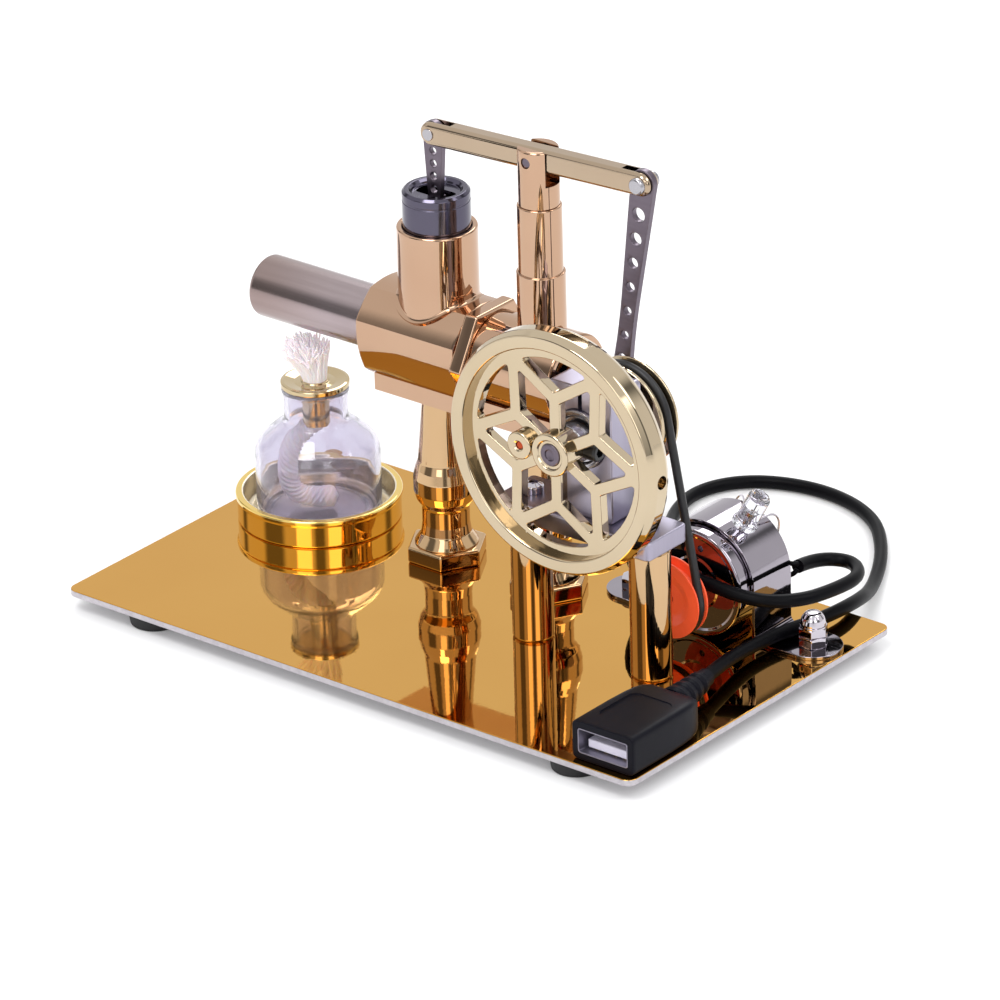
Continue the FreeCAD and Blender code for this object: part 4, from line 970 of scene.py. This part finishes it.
# screw head: rounded cylinder with a hexagon socket sunk in its face; low is the face that shows
def socketHead(radius, height, socket, depth, dome=0.0):
    profile = rounded([(0, 0), (radius, 0), (radius, height), (0, height + dome)],
                      [0, 0.1, min(0.5, height * 0.4), 0], 6)
    head = latheMesh(profile, (0, 0, 0), "z", 48)
    return carved(head, plateMesh([hexagon * socket], depth + 2, 0.02, at=(0, 0, height + dome - depth)))


pinSpot = (pinX, 0, axisZ)
rodScrew = merged(pointed(socketHead(2.2, 1.0, 1.1, 0.7), (pinX, 15.6, axisZ), (0, -1, 0)),
                  rodAlong(pinSpot, 1.25, 13.9, 18.7, 0.2, 3, 32),
                  rodAlong(pinSpot, 2.2, engineY + 0.8, engineY + 2.2, 0.3))
settle("rod_screw", rodScrew, finish["steel"], "rod_end_screw")
print("beam and rods made")

# front flywheel: rim, web with six forked spokes, hub, boss with its pin
wheelFront = cornersOf("front_flywheel")[0][1]
wheel = {"rim": 27.2, "depth": 6.6, "inner": 23.4, "ring": 21.0, "fork": 12.0, "reach": 21.9, "spoke": 1.3,
         "hub": 4.8, "shaft": 2.5, "webBack": 2.0, "web": 2.4, "boss": 3.1, "bossOut": 8.2, "corner": 0.55}


def turnedFlat(points, angle):
    c, s = math.cos(angle), math.sin(angle)
    return np.array(points) @ np.array(((c, s), (-s, c)))


def meeting(p, d, q, e):  # where the line through p along d meets the line through q along e
    share = ((q[0] - p[0]) * e[1] - (q[1] - p[1]) * e[0]) / (d[0] * e[1] - d[1] * e[0])
    return (p[0] + share * d[0], p[1] + share * d[1])


def windowShapes():
    inset, ring, fork, reach = wheel["spoke"], wheel["ring"], wheel["fork"], wheel["reach"]
    sixth = math.pi / 6
    forkSpot = (fork * math.cos(sixth), fork * math.sin(sixth))
    bar = np.array((reach - forkSpot[0], -forkSpot[1]))
    bar /= np.linalg.norm(bar)
    shifted = (forkSpot[0] + inset * bar[1], forkSpot[1] - inset * bar[0])
    spoke = (math.cos(sixth), math.sin(sixth))
    start = (inset * spoke[1], -inset * spoke[0])
    near = math.sqrt((wheel["hub"] - 0.15) ** 2 - inset ** 2)
    inner = (start[0] + near * spoke[0], start[1] + near * spoke[1])
    elbow = meeting(start, spoke, shifted, bar)
    tip = meeting(shifted, bar, (0, 0), (1, 0))
    kite = rounded([inner, elbow, tip, (elbow[0], -elbow[1]), (inner[0], -inner[1])],
                   [0.1, wheel["corner"], wheel["corner"], wheel["corner"], 0.1], 4, True)
    # the triangle between two forks, its middle on the fork's own line, closed by an arc under the ring
    rise = math.atan2(reach * math.sin(sixth), reach * math.cos(sixth) - fork)
    root = (fork + inset / math.sin(rise), 0)
    b = root[0] * math.cos(rise)
    far = -b + math.sqrt(b * b - root[0] ** 2 + ring ** 2)
    edge = (root[0] + far * math.cos(rise), far * math.sin(rise))
    limit = math.atan2(edge[1], edge[0])
    arc = [(ring * math.cos(a), ring * math.sin(a)) for a in np.linspace(-limit, limit, 9)]
    triangle = rounded([root] + arc, [wheel["corner"], 0.5] + [0.02] * 7 + [0.5], 4, True)
    return [turnedFlat(kite, k * math.pi / 3) for k in range(6)] + \
        [turnedFlat(triangle, sixth + k * math.pi / 3) for k in range(6)]


def wheelMesh():
    spot = (crankX, wheelFront, axisZ)
    rim = latheMesh(rounded([
        (wheel["inner"], 0), (wheel["rim"] - 0.9, 0), (wheel["rim"], 1.6), (wheel["rim"], 5.0),
        (wheel["rim"] - 0.9, wheel["depth"]), (wheel["inner"], wheel["depth"])],
        [0.55, 0.5, 1.4, 1.4, 0.5, 0.5], 7, True), spot, "y", 168, True)
    rim = carved(rim, barrelTool((0, wheelFront + wheel["depth"] / 2, axisZ), 1.5, crankX + 22, crankX + 32,
                                 "x", 40))
    web = plateMesh([circle(wheel["inner"] + 0.5, sides=120)[:, ::-1]]
                    + [shape[:, ::-1] for shape in windowShapes()]
                    + [circle(wheel["hub"] - 1, sides=48)[:, ::-1]], wheel["web"], 0.22, "y",
                    (crankX, wheelFront + wheel["webBack"], axisZ))
    hub = latheMesh(rounded([
        (wheel["shaft"], 0.5), (3.1, 0.5), (3.4, 0), (wheel["hub"], 0), (wheel["hub"], 5.8),
        (wheel["shaft"], 5.8)],
        [0.1, 0.15, 0.25, 0.5, 0.4, 0.1], 5, True), spot, "y", 96, True)
    bossX = crankX - wheel["bossOut"]
    boss = latheMesh(rounded([(0.9, 0.3), (1.3, 0), (wheel["boss"], 0), (wheel["boss"], 4.2), (0.9, 4.2)],
                             [0.1, 0.1, 0.45, 0.4, 0.1], 5, True), (bossX, wheelFront, axisZ), "y", 64, True)
    arm = blockMesh((bossX, wheelFront + 1.3, axisZ - 1.6), (crankX - 3.2, wheelFront + 4.1, axisZ + 1.6),
                    0.4, 0.3)
    return merged(rim, web, hub, boss, arm)


settle("flywheel", wheelMesh(), finish["champagne"], "front_flywheel", sharp=32)
settle("flywheel_stud", rodAlong((crankX - wheel["bossOut"], wheelFront, axisZ), 0.88, 0.5, 3.6, 0.2, 4, 32),
       finish["copper"], "flywheel_pin")
shaftLow, shaftHigh, _ = cornersOf("crankshaft")
settle("shaft", latheMesh(rounded([
    (0, shaftLow[1] + 0.9), (1.15, shaftLow[1] + 0.5), (1.3, shaftLow[1] + 0.12), (2.5, shaftLow[1] + 0.12),
    (2.5, shaftHigh[1]), (0, shaftHigh[1])], [0, 0.1, 0.1, 0.35, 0.2, 0], 5), (crankX, 0, axisZ), "y", 64),
    finish["darkSteel"], "crankshaft")
collar = {"radius": 4.5, "low": -11.3, "high": -8.0, "screw": 2.2, "out": 7.6}
middleY = (collar["low"] + collar["high"]) / 2
settle("shaft_collar", latheMesh(rounded([
    (2.45, collar["low"]), (collar["radius"], collar["low"]), (collar["radius"], collar["high"]),
    (2.45, collar["high"])], 0.35, 4, True), (crankX, 0, axisZ), "y", 64, True), finish["steel"], "crankshaft",
    stands=False, slotName="steel")
screwLength = 3.6
settle("collar_screw", pointed(socketHead(collar["screw"], screwLength, 1.2, 1.6),
                               (crankX + collar["out"] - screwLength, middleY, axisZ), (1, 0, 0)),
       finish["black"], "crankshaft", stands=False, slotName="dark_steel", sharp=30)
rearLow = cornersOf("rear_wheel")[0]
belt = {"y": 8.6, "section": 0.95, "gap": 1.05, "upper": 10.2, "lower": 6.9}
grooveLow = belt["y"] - rearLow[1] - 1.4
settle("belt_wheel", latheMesh(rounded([
    (2.5, 0.6), (4.4, 0.6), (4.4, 1.6), (9, 1.6), (9.5, 0), (12.1, 0), (12.1, 0.9), (belt["upper"], grooveLow),
    (belt["upper"], grooveLow + 2.8), (12.1, 5.1), (12.1, 5.6), (11.6, 5.8), (8.6, 5.8), (8.2, 5.4), (4.6, 5.4),
    (4.2, 5.8), (2.5, 5.8)],
    [.1, .3, .3, .4, .3, .4, .3, .5, .5, .25, .2, .3, .15, .15, .15, .15, .1], 5, True),
    (crankX, rearLow[1], axisZ), "y", 128, True), finish["champagne"], "rear_wheel", sharp=30)
settle("crank_stud", rodAlong(pinSpot, 2, 11.35, 12.1, 0.2), finish["steel"], "crank_pin")
print("wheels and shaft made")

# bearing block with a clamping slit, its bearings, the bar and the two posts
bearingLow, bearingHigh, _ = cornersOf("bearing_block")
bearing = {"corner": 1.0, "edge": 0.35, "hole": 6.5, "slit": 0.55}
shape = rectangle((bearingLow[2], bearingLow[0]), (bearingHigh[2], bearingHigh[0]), bearing["corner"])
blockBody = plateMesh([shape, circle(bearing["hole"], (axisZ, crankX), 64)], bearingHigh[1] - bearingLow[1],
                      bearing["edge"], "y", (0, bearingLow[1], 0))
slit = blockMesh((crankX - bearing["slit"], bearingLow[1] - 1, axisZ + 3),
                 (crankX + bearing["slit"], bearingHigh[1] + 1, bearingHigh[2] + 2), 0.02, 0.01)
settle("bearing_housing", carved(blockBody, slit), finish["silver"], "bearing_block", sharp=30)
ringLow, ringHigh, _ = cornersOf("bearing_outer_rings")
ringSpots = (ringLow[1], ringHigh[1] - 4)
settle("outer_rings", merged(*[latheMesh(rounded([(5.35, 0), (6.5, 0), (6.5, 4), (5.35, 4)], 0.3, 4, True),
                                         (crankX, y, axisZ), "y", 80, True) for y in ringSpots]),
       finish["steel"], "bearing_outer_rings")
settle("inner_rings", merged(*[merged(
    latheMesh(rounded([(2.5, 0), (3.6, 0), (3.6, 4), (2.5, 4)], 0.25, 4, True), (crankX, y, axisZ),
              "y", 64, True),
    latheMesh(rounded([(3.6, 0.5), (5.15, 0.5), (5.15, 3.5), (3.6, 3.5)], 0.2, 3, True), (crankX, y, axisZ),
              "y", 64, True)) for y in ringSpots]), finish["steel"], "bearing_inner_rings")
barLow, barHigh, _ = cornersOf("bracket_bar")
settle("bar", blockMesh(barLow, barHigh, 1.2, 0.45), finish["silver"], "bracket_bar", sharp=30)
for node in ("bracket_post_left", "bracket_post_right"):
    low, high, middle = cornersOf(node)
    settle(node.replace("bracket_post", "pillar"), latheMesh(rounded([
        (0, low[2]), (4.2, low[2]), (4.5, low[2] + 0.6), (4.5, high[2] - 0.6), (4.2, high[2]), (0, high[2])],
        0.3, 4), (middle[0], middle[1], 0), sides=96), finish["warmGold"], node, sharp=40)
screwSpots = [(cornersOf("bracket_post_left")[2][0] + 1, -3.0), (cornersOf("bracket_post_right")[2][0], -3.0)]
settle("bar_screws", merged(*[pointed(socketHead(2.2, 1.6, 1.15, 1.2, 1.2), (x, y, barHigh[2]), (0, 0, 1))
                              for x, y in screwSpots]), finish["chrome"], "bracket_screws", sharp=30)
print("bearing bracket made")

# motor with its clamp, nuts, pulley, belt and indicator lamp
canLow, _, canMiddle = cornersOf("motor_can")
motor = {"x": canMiddle[0], "z": canMiddle[2], "front": canLow[1] + 1.2, "radius": 12.2, "length": 15.0,
         "holeRing": 8.4, "holes": (10, 80, 190, 280), "hole": 0.75}
can = latheMesh(rounded([
    (0, -1.2), (3, -1.2), (3, -0.05), (5.6, 0), (6.1, 0.25), (10.4, 0.25), (10.9, 0), (motor["radius"], 0),
    (motor["radius"], motor["length"]), (0, motor["length"])],
    [0, .3, .3, .2, .2, .2, .2, 1.5, .3, 0], 7), (motor["x"], motor["front"], motor["z"]), "y", 144)
canTools = [barrelTool((motor["x"] + motor["holeRing"] * math.cos(math.radians(a)), 0,
                        motor["z"] + motor["holeRing"] * math.sin(math.radians(a))), motor["hole"],
                       motor["front"] - 1, motor["front"] + 1.4, sides=24) for a in motor["holes"]]
settle("motor_body", carved(can, *canTools), finish["smoky"], "motor_can", sharp=35)
settle("motor_back", latheMesh(rounded([
    (0, 0), (11.4, 0), (11.4, 1.5), (5, 1.5), (4.6, 1.1), (0, 1.1)], [0, .1, .4, .2, .2, 0], 5),
    (motor["x"], cornersOf("motor_end_cap")[0][1], motor["z"]), "y", 96), finish["ivory"], "motor_end_cap")
shaftSpan = cornersOf("motor_shaft")
settle("motor_axle", rodAlong((motor["x"], 0, motor["z"]), 1.2, shaftSpan[0][1], shaftSpan[1][1], 0.25, 4, 40),
       finish["steel"], "motor_shaft")
pulleyY = cornersOf("motor_pulley")[0][1]
settle("drive_wheel", latheMesh(rounded([
    (1.2, 1), (3.6, 1), (4.2, 0.9), (6.0, 0.15), (8.8, 0), (8.8, 0.35),
    (belt["lower"], 0.75), (belt["lower"], 2.65), (8.8, 3.05),
    (8.8, 3.5), (6.2, 3.4), (5.6, 2.6), (3.4, 2.6), (2.9, 5.5), (1.2, 5.5)],
    [.1, .2, .4, .5, .15, .15, .35, .35, .15, .15, .3, .5, .4, .3, .1], 5, True),
    (motor["x"], pulleyY, motor["z"]), "y", 96, True), finish["orange"], "motor_pulley", sharp=34)
clamp = {"front": cornersOf("motor_clamp")[0][1], "width": 12.8, "inside": 12.4, "sheet": 0.8,
         "bolt": 23.8, "hole": 1.6, "bend": 1.6}


# inverted U: legs up to the motor's height, a half circle over it, and a bend into each foot
def clampMesh():
    inside, sheet, bend = clamp["inside"], clamp["sheet"], clamp["bend"]
    x, top = motor["x"], motor["z"]
    arc = np.linspace(math.pi, 0, 49)
    over = [(x + (inside + sheet) * math.cos(a), top + (inside + sheet) * math.sin(a)) for a in arc]
    under = [(x + inside * math.cos(a), top + inside * math.sin(a)) for a in arc[::-1]]
    out = inside + sheet + 3
    outer = [(x - out, deckZ + sheet), (x - inside - sheet, deckZ + sheet)] + over + \
        [(x + inside + sheet, deckZ + sheet), (x + out, deckZ + sheet), (x + out, deckZ + 0.02),
         (x + inside, deckZ + 0.02)] + under + [(x - inside, deckZ + 0.02), (x - out, deckZ + 0.02)]
    bends = [0] * len(outer)
    bends[1] = bends[len(over) + 2] = bend
    band = plateMesh([rounded(outer, bends, 7, True)[:, ::-1]], clamp["width"], 0.12, "y",
                     (0, clamp["front"], 0))
    feet = []
    middleY = clamp["front"] + clamp["width"] / 2
    for side in (-1, 1):
        start, end = x + side * (inside + sheet + 1.2), x + side * clamp["bolt"]
        half = clamp["width"] / 2
        turns = np.linspace(-math.pi / 2, math.pi / 2, 24)
        plan = [(start, middleY - half)] + [(end + side * half * math.cos(a), middleY + half * math.sin(a))
                                            for a in turns] + [(start, middleY + half)]
        feet.append(plateMesh([plan, circle(clamp["hole"], (end, middleY), 32)], sheet, 0.12,
                              at=(0, 0, deckZ + 0.02)))
    return merged(band, *feet)


settle("clamp", clampMesh(), finish["smoky"], "motor_clamp", sharp=30)
boltY = clamp["front"] + clamp["width"] / 2
boltSpots = [motor["x"] - clamp["bolt"], motor["x"] + clamp["bolt"]]


# threaded bolt: radius = R + depth * triangle wave of the height over the pitch
def boltMesh(x, y, low, high, pitch=0.5):
    z = np.arange(low + 1.8, high - 0.3, pitch / 4)
    wave = np.abs(((z / pitch) % 1) * 2 - 1)
    shank = np.stack([1.32 + 0.16 * wave, z], 1)
    profile = np.concatenate([[(0, low)], rounded([(0, low), (3, low), (3, low + 1.7), (1.4, low + 1.75)],
                                                  [0, 0.5, 0.3, 0], 5)[1:], shank, [(1.0, high), (0, high)]])
    return latheMesh(profile, (x, y, 0), sides=40)


# hexagon whose corners are turned off: the prism under cone z = height - (r - inner) tan 30
def nutMesh(x, y, low, height, across=3.3):
    nut = plateMesh([rounded(hexagon * across, 0.15, 3, True), circle(1.45, (0, 0), 24)], height, 0.06)
    work = bmesh.new()
    work.from_mesh(nut)
    bmesh.ops.subdivide_edges(work, edges=work.edges, cuts=3, use_grid_fill=True)
    work.to_mesh(nut)
    work.free()
    px, py, pz = vertices(nut).T
    radius = np.hypot(px, py)
    cone = np.maximum(0, radius - across * 0.9) * 0.75
    pz = np.clip(pz, cone, height - cone)
    return rewritten(nut, np.stack([px + x, py + y, pz + low], 1))


boltHigh = cornersOf("clamp_bolts")[1][2]
settle("clamp_screws", merged(*[boltMesh(x, boltY, 1.7, boltHigh) for x in boltSpots]), finish["chrome"],
       "clamp_bolts", sharp=50)
sheetTop = deckZ + clamp["sheet"]
settle("clamp_hexes", merged(nutMesh(boltSpots[0], boltY, sheetTop, 2.6),
                             nutMesh(boltSpots[1], boltY, sheetTop, 2.4)),
       finish["chrome"], "clamp_nuts", sharp=30)
acornLow = cornersOf("acorn_nut")[0][2]
acornTop = latheMesh(rounded([(0, 2.0), (2.75, 2.0), (2.75, 2.9), (2.5, 4.0), (1.6, 5.2), (0, 5.4)],
                             [0, 0.1, 0.6, 1.4, 1.2, 0], 7), (boltSpots[1], boltY, acornLow), sides=64)
knurl = latheMesh([(0, 1.95), (2.95, 1.95), (2.95, 2.35), (0, 2.4)], (boltSpots[1], boltY, acornLow), sides=24)
settle("acorn_cap", merged(nutMesh(boltSpots[1], boltY, acornLow + 0.02, 2.0), acornTop, knurl),
       finish["chrome"], "acorn_nut", sharp=30)


# belt: circle of the section carried round two arcs and their outer tangents
def beltMesh():
    r0, r1 = belt["upper"] + belt["gap"], belt["lower"] + belt["gap"]
    top, low = np.array((crankX, axisZ)), np.array((motor["x"], motor["z"]))
    run = low - top
    heading = math.atan2(run[1], run[0])
    spread = math.acos((r0 - r1) / np.linalg.norm(run))
    lowArc = np.linspace(heading + spread, heading - spread, 41)
    topArc = np.linspace(heading - spread, heading + spread - 2 * math.pi, 81)
    lower, upperArc = (middle + r * np.stack([np.cos(angles), np.sin(angles)], 1)
                       for middle, r, angles in ((low, r1, lowArc), (top, r0, topArc)))
    share = np.linspace(0, 1, 22)[1:-1, None]
    path = np.concatenate([lower, lower[-1] * (1 - share) + upperArc[0] * share, upperArc,
                           upperArc[-1] * (1 - share) + lower[0] * share])
    tangent = np.roll(path, -1, 0) - np.roll(path, 1, 0)
    tangent /= np.linalg.norm(tangent, axis=1, keepdims=True)
    outward = np.stack([tangent[:, 1], -tangent[:, 0]], 1)
    angles = np.linspace(0, 2 * math.pi, 16, endpoint=False)
    flat = path[:, None] + outward[:, None] * (belt["section"] * np.cos(angles))[None, :, None]
    y = belt["y"] + belt["section"] * np.sin(angles)[None] + 0 * flat[..., 0]
    return gridMesh(np.stack([flat[..., 0], y, flat[..., 1]], -1), closeRows=True)


settle("belt", beltMesh(), finish["belt"], "drive_belt", sharp=80)
led = {"foot": (54.0, 24.5, 30.3), "up": (4.1, 1, 7.8), "radius": 2.5, "flange": 2.9, "height": 8.55}
ledProfile = rounded([(0, 0.02), (led["flange"], 0.02), (led["flange"], 1.0), (led["radius"], 1.0),
                      (led["radius"], led["height"]), (0, led["height"])], [0, .15, .2, .12, 2.35, 0], 12)
settle("indicator_lens", pointed(latheMesh(ledProfile, (0, 0, 0), sides=64), led["foot"], led["up"]),
       finish["lens"], "led_lens", sharp=50)
# frame inside the lens: a broad cup and a narrow post, each tapering down to its leg
cup = latheMesh(rounded([(0, 0.4), (0.3, 0.4), (0.35, 2.2), (1.0, 3.4), (1.05, 4.4), (0.75, 4.4), (0.35, 3.9),
                         (0, 3.9)], 0.06, 3), (-0.75, 0, 0), sides=24)
blade = plateMesh([rounded([(-0.3, 0.4), (0.3, 0.4), (0.35, 2.4), (0.9, 3.8), (0.2, 4.5), (-0.5, 4.2),
                            (-0.4, 2.4)], 0.08, 3, True)[:, ::-1]], 0.5, 0.08, "y", (0.95, -0.25, 0))
settle("indicator_core", pointed(merged(cup, blade), led["foot"], led["up"]), finish["steel"], "led_lens",
       stands=False, slotName="chrome")
ledUp = np.array(led["up"]) / np.linalg.norm(led["up"])
ledUnder = np.array(led["foot"]) - ledUp * 0.25
ledAcross = np.cross((0, 0, 1), ledUp)
ledAcross *= 1.27 / np.linalg.norm(ledAcross)
legs = [[ledUnder + ledAcross + ledUp * 0.4,
         (50.6, 29.6, 31.6), (45.0, 35.4, 31.4), (41.0, 36.6, 25.5), (40.4, 35.2, 18.2)],
        [ledUnder - ledAcross + ledUp * 0.4,
         (54.0, 29.0, 29.6), (55.0, 34.6, 29.6), (54.4, 36.6, 24.5), (52.4, 35.2, 18.2)]]
settle("indicator_legs", merged(*[cleaned(heldMesh(wireCurve("leg", route, 0.25))) for route in legs]),
       finish["chrome"], "led_leads", sharp=60)
wires = {"black": [(59.6, 35.6, 17.0), (59.2, 34.6, 15.6), (54.0, 34.8, 14.4), (47.0, 35.2, 14.2),
                   (41.2, 35.4, 14.9), (40.4, 35.2, 16.7)],
         "red": [(59.6, 35.7, 18.3), (59.4, 34.6, 18.4), (56.6, 34.7, 18.4), (53.75, 34.9, 17.7)]}
wirePieces = [cleaned(heldMesh(wireCurve(colour, route, 0.55))) for colour, route in wires.items()]
blackFaces = len(wirePieces[0].polygons)
wireMade = merged(*wirePieces)
wireColours = np.zeros(len(wireMade.polygons), np.int32)
wireColours[blackFaces:] = 1
wireMade.polygons.foreach_set("material_index", wireColours)
settle("motor_leads", wireMade, [finish["sheath"], finish["redWire"]], "motor_wires", sharp=60)
print("motor, clamp, belt and indicator made")

# CAD parts whose shape is right keep it and get a finish
kept = {"base_screws": "chrome", "engine_saddle": "roseGold", "displacer": "steel", "displacer_rod": "steel",
        "crosshead": "paleBrass", "displacer_link": "darkSteel", "motor_terminals": "paleBrass"}
for node, name in kept.items():
    slots = bpy.data.objects[node].material_slots
    for slot in slots:
        slot.material = finish[name]
    if not slots:
        print("no slot on", node)
print("kept parts finished")
